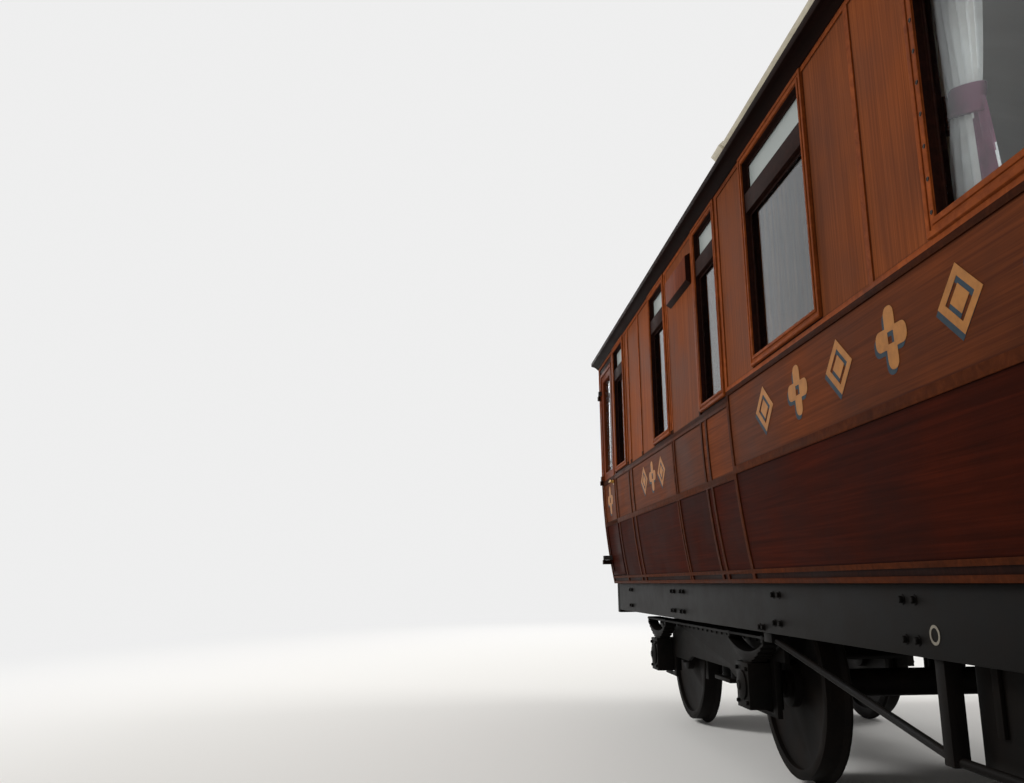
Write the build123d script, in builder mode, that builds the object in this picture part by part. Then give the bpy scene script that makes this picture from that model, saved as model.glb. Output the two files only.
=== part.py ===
from build123d import *
import math
import os

# Wooden-bodied bogie passenger coach, in millimetres.
# X runs along the coach, +Y is the left side, Z is up. The origin is under the
# middle of the coach, level with the lowest point of the wheel flanges.

os.makedirs("parts", exist_ok=True)

# Body shell
BODY_LENGTH = 15240.0
HALF_LENGTH = BODY_LENGTH / 2
BODY_WIDTH = 2590.0       # over the panels, where the side is upright
HALF_WIDTH = BODY_WIDTH / 2
WALL = 70.0               # side wall, as thick as its frame and panels
END_WALL = 70.0
WALL_HEIGHT = 2279.0      # body underside to the top of the side walls
TUMBLE_HEIGHT = 1037.0    # body underside to where the side becomes upright
TUMBLE_IN = 95.0          # how far the side falls in at the bottom
FLOOR_LIFT = 55.0         # body underside to floor underside
FLOOR = 80.0
FIT = 0.3                 # clearance between curved or soft faces that meet

# Wheels and their place on the rail
TREAD_RADIUS = 533.0
FLANGE_DEPTH = 28.0
SOLE_HEIGHT = 1120.0      # body underside above the rail
RAIL = FLANGE_DEPTH
BODY_BOTTOM = RAIL + SOLE_HEIGHT
TUMBLE_TOP = BODY_BOTTOM + TUMBLE_HEIGHT
WALL_TOP = BODY_BOTTOM + WALL_HEIGHT
FLOOR_BOTTOM = BODY_BOTTOM + FLOOR_LIFT
FLOOR_TOP = FLOOR_BOTTOM + FLOOR
TUMBLE_RADIUS = (TUMBLE_HEIGHT**2 + TUMBLE_IN**2) / (2 * TUMBLE_IN)

# Roof: one large arc between two small ones at the cornices
ROOF_HALF = HALF_WIDTH + 55.0
ROOF_RISE = 530.0
ROOF_EDGE_RADIUS = 100.0
ROOF_THICKNESS = 70.0
ROOF_OVERHANG = 25.0      # past each end wall
CORNICE_REACH = 80.0      # out from the panels
CORNICE_DEPTH = 77.0
CORNICE_FACE = 40.0
CORNICE_TOE = 14.0

# Waist rails step down towards the ends of the coach, at STEP_X. What lies beyond
# it keeps its distance from the end of the body.
STEP_X = HALF_LENGTH - 4410.0
BEAD = 9.0                # how far the mouldings stand out
MID_RAIL = 42.0
WAIST_RAIL = 46.0
MID_RAIL_HEIGHT = 602.0   # centre line, above the body underside
WAIST_RAIL_HEIGHT = TUMBLE_HEIGHT
MID_RAIL_LOW = MID_RAIL_HEIGHT - 25.0
WAIST_RAIL_LOW = WAIST_RAIL_HEIGHT - 51.0
SILL_RISE = 70.0          # waist rail to window sill
TOP_RAIL = 24.0
BOTTOM_BEAD = 24.0
SILL_BEAD_HEIGHT = 62.0
SILL_BEAD = 22.0

# Upright mouldings: centre along X, width, and whether they start at the body
# underside, the waist rail, or run from the underside up to the waist only
UPRIGHTS = (
    # (x, width, from, to)
    (1410.0, 34.0, "high waist", "top"),
    (STEP_X, 40.0, "bottom", "top"),
    (HALF_LENGTH - 3948.0, 34.0, "bottom", "waist"),
    (HALF_LENGTH - 3838.0, 38.0, "bottom", "top"),
    (HALF_LENGTH - 3128.0, 30.0, "bottom", "top"),
    (HALF_LENGTH - 3078.0, 30.0, "bottom", "top"),
    (HALF_LENGTH - 2080.0, 34.0, "waist", "top"),
    (HALF_LENGTH - 1600.0, 44.0, "bottom", "top"),
    (HALF_LENGTH - 1450.0, 44.0, "bottom", "top"),
    (HALF_LENGTH - 820.0, 36.0, "bottom", "top"),
    (HALF_LENGTH - 25.0, 44.0, "bottom", "top"),
)

# Side windows: centre along X, opening width, sill height above the body
# underside, and width of the moulding around the opening
SALOON_WINDOW_X = 2310.0
VESTIBULE_WINDOW_X = HALF_LENGTH - 1140.0
WINDOWS = (
    # (x, width, sill, trim)
    (0.0, 1900.0, WAIST_RAIL_HEIGHT + SILL_RISE, 46.0),
    (SALOON_WINDOW_X, 820.0, WAIST_RAIL_HEIGHT + SILL_RISE, 36.0),
    (HALF_LENGTH - 4125.0, 450.0, WAIST_RAIL_LOW + SILL_RISE, 32.0),
    (HALF_LENGTH - 2790.0, 480.0, WAIST_RAIL_LOW + SILL_RISE, 32.0),
    (VESTIBULE_WINDOW_X, 480.0, WAIST_RAIL_LOW + SILL_RISE, 32.0),
)
WINDOW_HEAD = WALL_HEIGHT - 112.0  # above the body underside
TRANSOM_HEIGHT = WINDOW_HEAD - 230.0  # its centre
TRANSOM = 136.0
WINDOW_RING = 24.0
MULLION = 90.0
WINDOW_RECESS = 24.0      # glass behind the panels
FRAME_DEPTH = 52.0
TRIM_OUT = 13.0
GLASS = 6.0

# Doors
DOOR_X = HALF_LENGTH - 410.0
DOOR_WIDTH = 640.0
DOOR_FOOT = 82.0          # above the body underside
DOOR_HEAD = WALL_HEIGHT - 167.0
DOOR_THICKNESS = 46.0
DOOR_GAP = 5.5
DOOR_GLASS_WIDTH = 400.0
DOOR_GLASS_SILL = WAIST_RAIL_LOW + 99.0
DOOR_GLASS_HEAD = DOOR_HEAD - 97.0
DOOR_BEAD = 34.0
KNUCKLE_RADIUS = 10.0
KNUCKLE_HEIGHT = 42.0
KNUCKLE_CLEAR = 5.5
HINGE_STRAP = 46.0
HINGE_HEIGHTS = (230.0, 1020.0, DOOR_HEAD - 212.0)
PIN_GAP = 0.5

# Ends and gangways
GANGWAY_WIDTH = 760.0
GANGWAY_HEIGHT = 1950.0
BELLOWS_LENGTH = 320.0
BELLOWS_WALL = 90.0
BELLOWS_MARGIN = 80.0     # opening of the bellows past the doorway
FACE_PLATE = 40.0
END_BEAD = 8.0
END_BEAD_WIDTH = 36.0
END_BEADS_Y = (620.0, 900.0)

# Ventilator hoods on the panels
HOOD_X = HALF_LENGTH - 3520.0
HOOD_WIDTH = 560.0
HOOD_TOP = WINDOW_HEAD - 79.0
HOOD_HEIGHT = 216.0
HOOD_REACH = 42.0
HOOD_SLOPE = 28.0         # fall of its top and rise of its foot, towards its face

# Roof fittings
STRIP_END = STEP_X - 310.0
STRIP_ANGLE = 45.0        # up the small arc of the roof
STRIP_WIDTH = 18.0
STRIP_HEIGHT = 26.0
STRIP_BED = 3.0           # shaped to the roof
STRIP_BOX = (150.0, 40.0, 36.0)
VENT_PITCH = 1800.0
VENT_COUNT = 8
VENT_Y = 430.0
VENT_RADIUS = 62.0
VENT_TIP_RADIUS = 28.0
VENT_STEM = 40.0
VENT_LENGTH = 300.0
VENT_RISE = 95.0

# Underframe
SOLEBAR_DEPTH = 254.0
SOLEBAR_Y = HALF_WIDTH - 120.0  # outer face
SOLEBAR_WEB = 14.0
SOLEBAR_FLANGE = 85.0
HEADSTOCK = 90.0
HEADSTOCK_DEPTH = 280.0
HEADSTOCK_PLATE = 25.0
HEADSTOCK_RAISE = 40.0
QUEEN_X = 1500.0
CROSSBARS_X = (0.0, QUEEN_X, 2 * QUEEN_X, HALF_LENGTH - 720.0)
CROSSBAR = 90.0
CROSSBAR_DEPTH = 200.0
LONGITUDINAL_Y = 330.0
PIVOT_X = HALF_LENGTH - 2515.0
BODY_BOLSTER = 380.0
BODY_BOLSTER_DEPTH = 130.0
PIVOT_RADIUS = 170.0
KINGPIN_RADIUS = 38.0
KINGPIN_DROP = 110.0

TRUSS_END_X = 2 * QUEEN_X + 250.0
TRUSS_DROP = 330.0
TRUSS_ROD = 17.0
QUEEN_POST = 60.0
TRUSS_Y = SOLEBAR_Y - 55.0

BATTERY_X = (-QUEEN_X / 2, QUEEN_X / 2)
BATTERY_SIZE = (1480.0, 430.0, 430.0)
BATTERY_Y = SOLEBAR_Y - 355.0
CYLINDER_X = 2300.0
CYLINDER_RADIUS = 265.0
CYLINDER_HEIGHT = 430.0

# Buffers and draw gear
BUFFER_Y = 865.0
BUFFER_HEIGHT = 1035.0
BUFFER_LENGTH = 560.0     # from the headstock plate to the head's face
BUFFER_HEAD_RADIUS = 190.0
BUFFER_HEAD = 32.0
BUFFER_STOCK_RADIUS = 105.0
BUFFER_NOSE_RADIUS = 82.0
BUFFER_STOCK_LENGTH = 310.0
BUFFER_ROD_RADIUS = 58.0
BUFFER_FLANGE_RADIUS = 150.0
BUFFER_FLANGE = 24.0
HOOK_OUTLINE = (
    # (out from the plate, up from the draw line)
    (0, -38),
    (126, -46),
    (189, -34),
    (210, 8),
    (195, 62),
    (151, 66),
    (139, 14),
    (97, 8),
    (84, 38),
    (0, 38),
)
HOOK_THICKNESS = 46.0
DRAW_PLATE = 20.0
DRAW_PLATE_SIZE = 260.0
DRAW_PLATE_TOP = 104.0    # above the draw line
LINK_ROD = 14.0
LINK_PIN = 22.0
LINK_SCREW = 18.0
LINK_Y = 52.0
LINK_LENGTH = 240.0
LOWER_LINK = 144.0
LINK_REACH = 63.0         # pin out from the plate

# Bogies
WHEELBASE = 2438.0
AXLE_X = WHEELBASE / 2
SIDEPLATE_Y = 940.0       # inner face
SIDEPLATE = 30.0
SIDEPLATE_HALF = 1580.0
SIDEPLATE_TOP = 810.0     # above the rail
SIDEPLATE_BEAM = 130.0
FRAME_FLANGE = 15.0
FRAME_FLANGE_WIDTH = 140.0
HORN_HALF = 190.0
HORN_BOTTOM = 362.0
KEEPER = 24.0
WEB_HALF = 620.0
WEB_TOE_HALF = 496.0
WEB_BOTTOM = 520.0
WEB_ARCH = 43.0          # rise of the web's lower edge
BOX_HALF = 115.0
BOX_INNER_Y = 905.0
BOX_OUTER_Y = 1105.0
BOX_HEIGHT = 260.0
TRANSOM_X = 310.0
BOGIE_TRANSOM = 80.0
BOGIE_TRANSOM_DEPTH = 190.0
BOLSTER_HALF = 190.0
BOLSTER_HALF_WIDTH = 880.0
BOLSTER_TOP = 930.0
BOLSTER_DEPTH = 150.0
PLANK_BOTTOM = 430.0
PLANK = 26.0
COIL_RADIUS = 62.0
COIL_X = 105.0
COIL_Y = 780.0
SWING_LINK = 30.0
PIVOT_PLATE = 28.0
LEAF = 12.0
LEAVES = 5
LEAF_STEP = 58.0
LEAF_HALF = 340.0
LEAF_WIDTH = 90.0
LEAF_RADIUS = 900.0
LEAF_Y = 1035.0
BUCKLE_HALF = 46.0
SHOE = 40.0

# Brake gear: a shoe inside each wheel, hung from a cross tube
SHOE_GAP = 8.0
BRAKE_SHOE = 62.0
BRAKE_SHOE_ARC = 17.0     # half its angle at the wheel's centre
BRAKE_SHOE_WIDTH = 84.0
HANGER = 26.0
HANGER_Y = 770.0
BRAKE_TUBE = 24.0

# Wheelsets, with distances from the middle of the axle
WHEEL_BACK = 680.0
WHEEL_RIM = 135.0
FLANGE_WIDTH = 30.0
TYRE = 62.0
DISC = 80.0
HUB_RADIUS = 130.0
HUB_WIDTH = 175.0
AXLE_RADIUS = 78.0
JOURNAL_RADIUS = 58.0
JOURNAL_START = 865.0
JOURNAL_END = 1072.0
BEARING_FIT = 0.5

# Inside
PARTITION = 40.0
PARTITIONS_X = (HALF_LENGTH - 3860.0, HALF_LENGTH - 3104.0, HALF_LENGTH - 1525.0)
PASSAGE_WIDTH = 620.0
PASSAGE_HEIGHT = 1930.0
SEAT_WIDTH = 560.0
SEAT_DEPTH = 500.0
SEAT_HEIGHT = 270.0
CUSHION = 150.0
BACK_HEIGHT = 640.0
BACK_THICKNESS = 120.0
ARM_WIDTH = 60.0
ARM_HEIGHT = 240.0
SEAT_Y = HALF_WIDTH - 435.0
TABLES_X = (0.0, SALOON_WINDOW_X)
SEATS_X = (690.0, SALOON_WINDOW_X - 620.0, SALOON_WINDOW_X + 620.0)
SEATS_FACE = (-1, 1, -1)
TABLE_SIZE = (500.0, 640.0, 26.0)
TABLE_HEIGHT = 720.0
TABLE_LEG = 34.0
TABLE_FOOT = 150.0
LAMP_X = 190.0
LAMP_BASE = 55.0
LAMP_STEM = 12.0
LAMP_HEIGHT = 330.0
SHADE_RADIUS = 95.0
SHADE_TOP = 60.0
SHADE_HEIGHT = 130.0

# Curtains: centre along X and width of each, and their rods
CURTAINS = (
    # (x, width at top, inward of the window's middle as +1 or -1)
    (905.0, 340.0, 1),
    (VESTIBULE_WINDOW_X - 120.0, 200.0, -1),
)
CURTAIN_DEPTH = 60.0
CURTAIN_BACK = 20.0       # from the inner wall face
CURTAIN_TOP = WINDOW_HEAD - 27.0
CURTAIN_FOOT = 1010.0
TIE_HEIGHT = 1440.0
TIE_WIDTH_SHARE = 0.42
ROD_RADIUS = 9.0
ROD_POST = 26.0           # post past the opening, and rod past the post
ROD_POST_RADIUS = 6.0

# Sizes that follow from the ones above
WINDOW_Z1 = BODY_BOTTOM + WINDOW_HEAD
TRANSOM_Z = BODY_BOTTOM + TRANSOM_HEIGHT
PANEL_TOP = WALL_TOP - CORNICE_DEPTH
ROOF_INNER = ROOF_HALF - ROOF_THICKNESS
ROOF_RADIUS = (ROOF_HALF**2 + ROOF_RISE**2 - 2 * ROOF_HALF * ROOF_EDGE_RADIUS) / (
    2 * (ROOF_RISE - ROOF_EDGE_RADIUS)
)
EDGE_CENTRE_Y = ROOF_HALF - ROOF_EDGE_RADIUS
TOP_CENTRE_Z = WALL_TOP + ROOF_RISE - ROOF_RADIUS
JOIN_ANGLE = math.atan2(WALL_TOP - TOP_CENTRE_Z, EDGE_CENTRE_Y)
SOLEBAR_BOTTOM = BODY_BOTTOM - SOLEBAR_DEPTH
HINGE_Y = HALF_WIDTH + BEAD + KNUCKLE_RADIUS + KNUCKLE_CLEAR
AXLE_Z = RAIL + TREAD_RADIUS
BOLSTER_Z = RAIL + BOLSTER_TOP + PIVOT_PLATE
BUFFER_Z = RAIL + BUFFER_HEIGHT
PLATE_X = HALF_LENGTH + HEADSTOCK_PLATE
LOOK_THROUGH = 400.0      # length of cuts that pass right through a wall


def block(x0, x1, y0, y1, z0, z1, mode=Mode.ADD):
    """Add or cut a box between two corners."""
    with Locations(((x0 + x1) / 2, (y0 + y1) / 2, (z0 + z1) / 2)):
        Box(abs(x1 - x0), abs(y1 - y0), abs(z1 - z0), mode=mode)


def rod_y(radius, x, z, y0, y1, mode=Mode.ADD):
    """Add or cut a cylinder that lies along Y."""
    with Locations((x, (y0 + y1) / 2, z)):
        Cylinder(radius, abs(y1 - y0), rotation=(90, 0, 0), mode=mode)


def rod_x(radius, x0, x1, y, z, mode=Mode.ADD):
    """Add or cut a cylinder that lies along X."""
    with Locations(((x0 + x1) / 2, y, z)):
        Cylinder(radius, abs(x1 - x0), rotation=(0, 90, 0), mode=mode)


def post(radius, x, y, z0, z1, mode=Mode.ADD):
    """Add or cut an upright cylinder."""
    with Locations((x, y, (z0 + z1) / 2)):
        Cylinder(radius, z1 - z0, mode=mode)


def side_y(out, z):
    """Y of the left side at height z, moved outward by out."""
    drop = max(TUMBLE_TOP - z, 0)
    return HALF_WIDTH - TUMBLE_RADIUS + math.sqrt((TUMBLE_RADIUS + out) ** 2 - drop**2)


def side_strip(inside, outside, low, high):
    """Outline in the YZ plane of a strip that follows the left side."""
    bend = max(TUMBLE_TOP, low)
    middle = (low + bend) / 2
    with BuildLine() as outline:
        if low < TUMBLE_TOP:
            ThreePointArc(
                (side_y(outside, low), low),
                (side_y(outside, middle), middle),
                (side_y(outside, bend), bend),
            )
            ThreePointArc(
                (side_y(inside, low), low),
                (side_y(inside, middle), middle),
                (side_y(inside, bend), bend),
            )
        Line((side_y(outside, bend), bend), (side_y(outside, high), high))
        Line((side_y(outside, high), high), (side_y(inside, high), high))
        Line((side_y(inside, high), high), (side_y(inside, bend), bend))
        Line((side_y(inside, low), low), (side_y(outside, low), low))
    make_face(outline.edges())


def roof_point(radius_cut, angle, side=1):
    """Point on the roof's outline, moved in by radius_cut, at an angle above +Y."""
    if angle < JOIN_ANGLE:
        radius = ROOF_EDGE_RADIUS - radius_cut
        y = EDGE_CENTRE_Y + radius * math.cos(angle)
        return (side * y, WALL_TOP + radius * math.sin(angle))
    radius = ROOF_RADIUS - radius_cut
    return (side * radius * math.cos(angle), TOP_CENTRE_Z + radius * math.sin(angle))


def roof_curve(cut):
    """Lines of the roof's outline, moved in by cut, from side to side."""
    for side in (1, -1):
        ThreePointArc(
            roof_point(cut, 0, side),
            roof_point(cut, JOIN_ANGLE / 2, side),
            roof_point(cut, JOIN_ANGLE, side),
        )
    ThreePointArc(
        roof_point(cut, JOIN_ANGLE, 1),
        roof_point(cut, math.pi / 2, 1),
        roof_point(cut, JOIN_ANGLE, -1),
    )


def finish(part, name):
    """Label a piece and write it."""
    part.label = name
    export_step(part, f"parts/{name}.step")


def both(values):
    """Each value and its opposite, with zero once."""
    return [s * v for v in values for s in (1, -1) if v or s > 0]


def window_rows():
    """Every side window, with those away from the middle repeated in mirror."""
    rows = []
    for x, width, sill, trim in WINDOWS:
        for centre in both((x,)):
            rows.append((centre, width, BODY_BOTTOM + sill, trim))
    return rows


def wall_hinges(leaf_edge):
    """Fixed knuckles and straps for a door whose hinge edge is at leaf_edge."""
    for height in HINGE_HEIGHTS:
        top = BODY_BOTTOM + height - PIN_GAP
        low = top - KNUCKLE_HEIGHT
        inner = side_y(-WALL / 2, low)
        post(KNUCKLE_RADIUS, leaf_edge, HINGE_Y, low, top)
        block(
            leaf_edge,
            leaf_edge + HINGE_STRAP,
            HINGE_Y - KNUCKLE_RADIUS,
            HINGE_Y + KNUCKLE_RADIUS,
            low,
            top,
        )
        block(
            leaf_edge + DOOR_GAP,
            leaf_edge + HINGE_STRAP,
            inner,
            HINGE_Y + KNUCKLE_RADIUS,
            low,
            top,
        )


# Side walls. The right side is the left one turned half a turn about Z.
with BuildPart() as side_left:
    with BuildSketch(Plane.YZ.offset(-HALF_LENGTH)):
        side_strip(-WALL, 0, BODY_BOTTOM, WALL_TOP)
    extrude(amount=BODY_LENGTH)
    for x, width, sill, trim in window_rows():
        block(
            x - width / 2,
            x + width / 2,
            HALF_WIDTH - LOOK_THROUGH,
            HALF_WIDTH + LOOK_THROUGH,
            sill,
            WINDOW_Z1,
            Mode.SUBTRACT,
        )
    for x in both((DOOR_X,)):
        block(
            x - DOOR_WIDTH / 2 - DOOR_GAP,
            x + DOOR_WIDTH / 2 + DOOR_GAP,
            HALF_WIDTH - LOOK_THROUGH,
            HALF_WIDTH + LOOK_THROUGH,
            BODY_BOTTOM + DOOR_FOOT - DOOR_GAP,
            BODY_BOTTOM + DOOR_HEAD + DOOR_GAP,
            Mode.SUBTRACT,
        )
        wall_hinges(x + DOOR_WIDTH / 2)
finish(side_left.part, "side_left")

with BuildPart() as side_right:
    add(side_left.part.rotate(Axis.Z, 180))
finish(side_right.part, "side_right")


def moulding_lattice():
    """Rails and uprights of the mouldings, seen from the side."""
    end = HALF_LENGTH
    flat = (
        # (x0, x1, centre height, width)
        (-end, end, BOTTOM_BEAD / 2, BOTTOM_BEAD),
        (-end, end, SILL_BEAD_HEIGHT, SILL_BEAD),
        (-STEP_X, STEP_X, MID_RAIL_HEIGHT, MID_RAIL),
        (-STEP_X, STEP_X, WAIST_RAIL_HEIGHT, WAIST_RAIL),
        (STEP_X, end, MID_RAIL_LOW, MID_RAIL),
        (STEP_X, end, WAIST_RAIL_LOW, WAIST_RAIL),
        (-end, -STEP_X, MID_RAIL_LOW, MID_RAIL),
        (-end, -STEP_X, WAIST_RAIL_LOW, WAIST_RAIL),
        (-end, end, WALL_HEIGHT - CORNICE_DEPTH - TOP_RAIL / 2, TOP_RAIL),
    )
    for x0, x1, height, width in flat:
        with Locations(((x0 + x1) / 2, BODY_BOTTOM + height)):
            Rectangle(x1 - x0, width)
    levels = {
        "bottom": BODY_BOTTOM,
        "waist": BODY_BOTTOM + WAIST_RAIL_LOW,
        "high waist": BODY_BOTTOM + WAIST_RAIL_HEIGHT,
        "top": PANEL_TOP,
    }
    for x, width, low, high in UPRIGHTS:
        for centre in both((x,)):
            z0 = levels[low]
            z1 = levels[high]
            with Locations((centre, (z0 + z1) / 2)):
                Rectangle(width, z1 - z0)


with BuildPart() as mouldings_left:
    with BuildSketch(Plane.YZ.offset(-HALF_LENGTH)):
        side_strip(0, BEAD, BODY_BOTTOM, PANEL_TOP)
    extrude(amount=BODY_LENGTH)
    with BuildSketch(Plane.XZ.offset(-HALF_WIDTH - LOOK_THROUGH)):
        moulding_lattice()
    extrude(amount=2 * LOOK_THROUGH, mode=Mode.INTERSECT)
    for x, width, sill, trim in window_rows():
        block(
            x - width / 2 - trim,
            x + width / 2 + trim,
            HALF_WIDTH - LOOK_THROUGH,
            HALF_WIDTH + LOOK_THROUGH,
            sill - trim,
            WINDOW_Z1 + min(trim, PANEL_TOP - WINDOW_Z1),
            Mode.SUBTRACT,
        )
    for x in both((DOOR_X,)):
        block(
            x - DOOR_WIDTH / 2 - DOOR_GAP,
            x + DOOR_WIDTH / 2 + DOOR_GAP,
            HALF_WIDTH - LOOK_THROUGH,
            HALF_WIDTH + LOOK_THROUGH,
            BODY_BOTTOM + DOOR_FOOT - DOOR_GAP,
            BODY_BOTTOM + DOOR_HEAD + DOOR_GAP,
            Mode.SUBTRACT,
        )
        edge = x + DOOR_WIDTH / 2
        for height in HINGE_HEIGHTS:
            block(
                edge,
                edge + HINGE_STRAP + FIT,
                HALF_WIDTH - LOOK_THROUGH,
                HALF_WIDTH + LOOK_THROUGH,
                BODY_BOTTOM + height - PIN_GAP - KNUCKLE_HEIGHT - FIT,
                BODY_BOTTOM + height - PIN_GAP + FIT,
                Mode.SUBTRACT,
            )
finish(mouldings_left.part, "mouldings_left")

with BuildPart() as mouldings_right:
    add(mouldings_left.part.rotate(Axis.Z, 180))
finish(mouldings_right.part, "mouldings_right")


# Window frames: a moulding on the panels, a ring in the opening and its bars
def window_bars(x, width, sill):
    """Glazing openings of one window, as (x0, x1, z0, z1)."""
    spans = [(x - width / 2, x + width / 2)]
    if width > 2 * DOOR_WIDTH:
        spans = [(x - width / 2, x - MULLION / 2 + WINDOW_RING)]
        spans.append((x + MULLION / 2 - WINDOW_RING, x + width / 2))
    panes = []
    for x0, x1 in spans:
        left = x0 + WINDOW_RING
        right = x1 - WINDOW_RING
        panes.append((left, right, sill + WINDOW_RING, TRANSOM_Z - TRANSOM / 2))
        panes.append((left, right, TRANSOM_Z + TRANSOM / 2, WINDOW_Z1 - WINDOW_RING))
    return panes


GLASS_Y = HALF_WIDTH - WINDOW_RECESS

with BuildPart() as window_frames_left:
    for x, width, sill, trim in window_rows():
        block(
            x - width / 2,
            x + width / 2,
            GLASS_Y - FRAME_DEPTH / 2,
            HALF_WIDTH,
            sill,
            WINDOW_Z1,
        )
        block(
            x - width / 2 - trim,
            x + width / 2 + trim,
            HALF_WIDTH,
            HALF_WIDTH + TRIM_OUT,
            sill - trim,
            WINDOW_Z1 + min(trim, PANEL_TOP - WINDOW_Z1),
        )
        block(
            x - width / 2 + TRIM_OUT,
            x + width / 2 - TRIM_OUT,
            GLASS_Y + GLASS,
            HALF_WIDTH + TRIM_OUT,
            sill + TRIM_OUT,
            WINDOW_Z1 - TRIM_OUT,
            Mode.SUBTRACT,
        )
    for x, width, sill, trim in window_rows():
        for x0, x1, z0, z1 in window_bars(x, width, sill):
            block(
                x0,
                x1,
                HALF_WIDTH - LOOK_THROUGH,
                HALF_WIDTH + LOOK_THROUGH,
                z0,
                z1,
                Mode.SUBTRACT,
            )
finish(window_frames_left.part, "window_frames_left")

with BuildPart() as window_frames_right:
    add(window_frames_left.part.rotate(Axis.Z, 180))
finish(window_frames_right.part, "window_frames_right")

with BuildPart() as window_glass:
    for x, width, sill, trim in window_rows():
        for x0, x1, z0, z1 in window_bars(x, width, sill):
            block(x0, x1, GLASS_Y - GLASS, GLASS_Y, z0, z1)
    mirror(about=Plane.XZ)
finish(window_glass.part, "window_glass")

# End walls, with a shoulder on top of the side walls
with BuildPart() as end_b:
    with BuildSketch(Plane.YZ.offset(HALF_LENGTH - END_WALL)):
        with BuildLine():
            for side in (1, -1):
                middle = (BODY_BOTTOM + TUMBLE_TOP) / 2
                inner = side * side_y(-WALL - FIT, TUMBLE_TOP)
                ThreePointArc(
                    (side * side_y(-WALL - FIT, BODY_BOTTOM), BODY_BOTTOM),
                    (side * side_y(-WALL - FIT, middle), middle),
                    (inner, TUMBLE_TOP),
                )
                shoulder = roof_point(ROOF_THICKNESS + FIT, 0, side)
                Polyline((inner, TUMBLE_TOP), (inner, WALL_TOP), shoulder)
            roof_curve(ROOF_THICKNESS + FIT)
            Line(
                (side_y(-WALL - FIT, BODY_BOTTOM), BODY_BOTTOM),
                (-side_y(-WALL - FIT, BODY_BOTTOM), BODY_BOTTOM),
            )
        make_face()
    extrude(amount=END_WALL)
    out = HALF_LENGTH + END_BEAD
    bead_top = PANEL_TOP
    for y in both(END_BEADS_Y):
        block(
            HALF_LENGTH,
            out,
            y - END_BEAD_WIDTH / 2,
            y + END_BEAD_WIDTH / 2,
            BODY_BOTTOM + HEADSTOCK_RAISE,
            bead_top,
        )
    for height in (MID_RAIL_LOW, WAIST_RAIL_LOW, WALL_HEIGHT - CORNICE_DEPTH):
        reach = side_y(-WALL - FIT, BODY_BOTTOM + height)
        centre = BODY_BOTTOM + height
        block(
            HALF_LENGTH,
            out,
            -reach,
            reach,
            centre - END_BEAD_WIDTH / 2,
            centre + END_BEAD_WIDTH / 2,
        )
    block(
        HALF_LENGTH,
        out + END_BEAD,
        -GANGWAY_WIDTH / 2 - BELLOWS_MARGIN - BELLOWS_WALL,
        GANGWAY_WIDTH / 2 + BELLOWS_MARGIN + BELLOWS_WALL,
        BODY_BOTTOM + HEADSTOCK_RAISE,
        FLOOR_TOP + GANGWAY_HEIGHT + BELLOWS_MARGIN + BELLOWS_WALL,
        Mode.SUBTRACT,
    )
    block(
        HALF_LENGTH - 2 * END_WALL,
        out + END_BEAD,
        -GANGWAY_WIDTH / 2,
        GANGWAY_WIDTH / 2,
        FLOOR_TOP,
        FLOOR_TOP + GANGWAY_HEIGHT,
        Mode.SUBTRACT,
    )
finish(end_b.part, "end_b")

with BuildPart() as end_a:
    mirror(end_b.part, about=Plane.YZ)
finish(end_a.part, "end_a")

# Roof shell and its fittings
ROOF_LENGTH = BODY_LENGTH + 2 * ROOF_OVERHANG

with BuildPart() as roof:
    with BuildSketch(Plane.YZ.offset(-ROOF_LENGTH / 2)):
        with BuildLine():
            roof_curve(0)
            roof_curve(ROOF_THICKNESS)
            for side in (1, -1):
                Line((side * ROOF_HALF, WALL_TOP), (side * ROOF_INNER, WALL_TOP))
        make_face()
    extrude(amount=ROOF_LENGTH)
finish(roof.part, "roof")

with BuildPart() as cornices:
    with BuildSketch(Plane.YZ.offset(-ROOF_LENGTH / 2)):
        low = PANEL_TOP
        edge = HALF_WIDTH + CORNICE_REACH
        lip = WALL_TOP - CORNICE_FACE
        with BuildLine():
            Polyline(
                (edge, lip),
                (edge, WALL_TOP),
                (HALF_WIDTH, WALL_TOP),
                (HALF_WIDTH, low),
                (HALF_WIDTH + CORNICE_TOE, low),
            )
            RadiusArc(
                (HALF_WIDTH + CORNICE_TOE, low),
                (edge, lip),
                CORNICE_REACH,
            )
        make_face()
    extrude(amount=ROOF_LENGTH)
    mirror(about=Plane.XZ)
finish(cornices.part, "cornices")

with BuildPart() as roof_strips:
    angle = math.radians(STRIP_ANGLE)
    foot_y, foot_z = roof_point(STRIP_BED, angle)
    strip_plane = Plane(
        origin=(-STRIP_END, foot_y, foot_z),
        x_dir=(0, -math.sin(angle), math.cos(angle)),
        z_dir=(1, 0, 0),
    )
    with BuildSketch(strip_plane):
        Rectangle(STRIP_WIDTH, STRIP_BED + STRIP_HEIGHT, align=(Align.CENTER, Align.MAX))
    extrude(amount=2 * STRIP_END)
    box_length, box_width, box_height = STRIP_BOX
    for x in both((STRIP_END + box_length / 2,)):
        box_plane = Plane(
            origin=(x - box_length / 2, foot_y, foot_z),
            x_dir=(0, -math.sin(angle), math.cos(angle)),
            z_dir=(1, 0, 0),
        )
        with BuildSketch(box_plane):
            Rectangle(box_width, STRIP_BED + box_height, align=(Align.CENTER, Align.MAX))
        extrude(amount=box_length)
    with BuildSketch(Plane.YZ.offset(-ROOF_LENGTH / 2)):
        with BuildLine():
            roof_curve(-FIT)
            Line(roof_point(-FIT, 0, 1), roof_point(-FIT, 0, -1))
        make_face()
    extrude(amount=ROOF_LENGTH, mode=Mode.SUBTRACT)
    mirror(about=Plane.XZ)
finish(roof_strips.part, "roof_strips")

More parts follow.
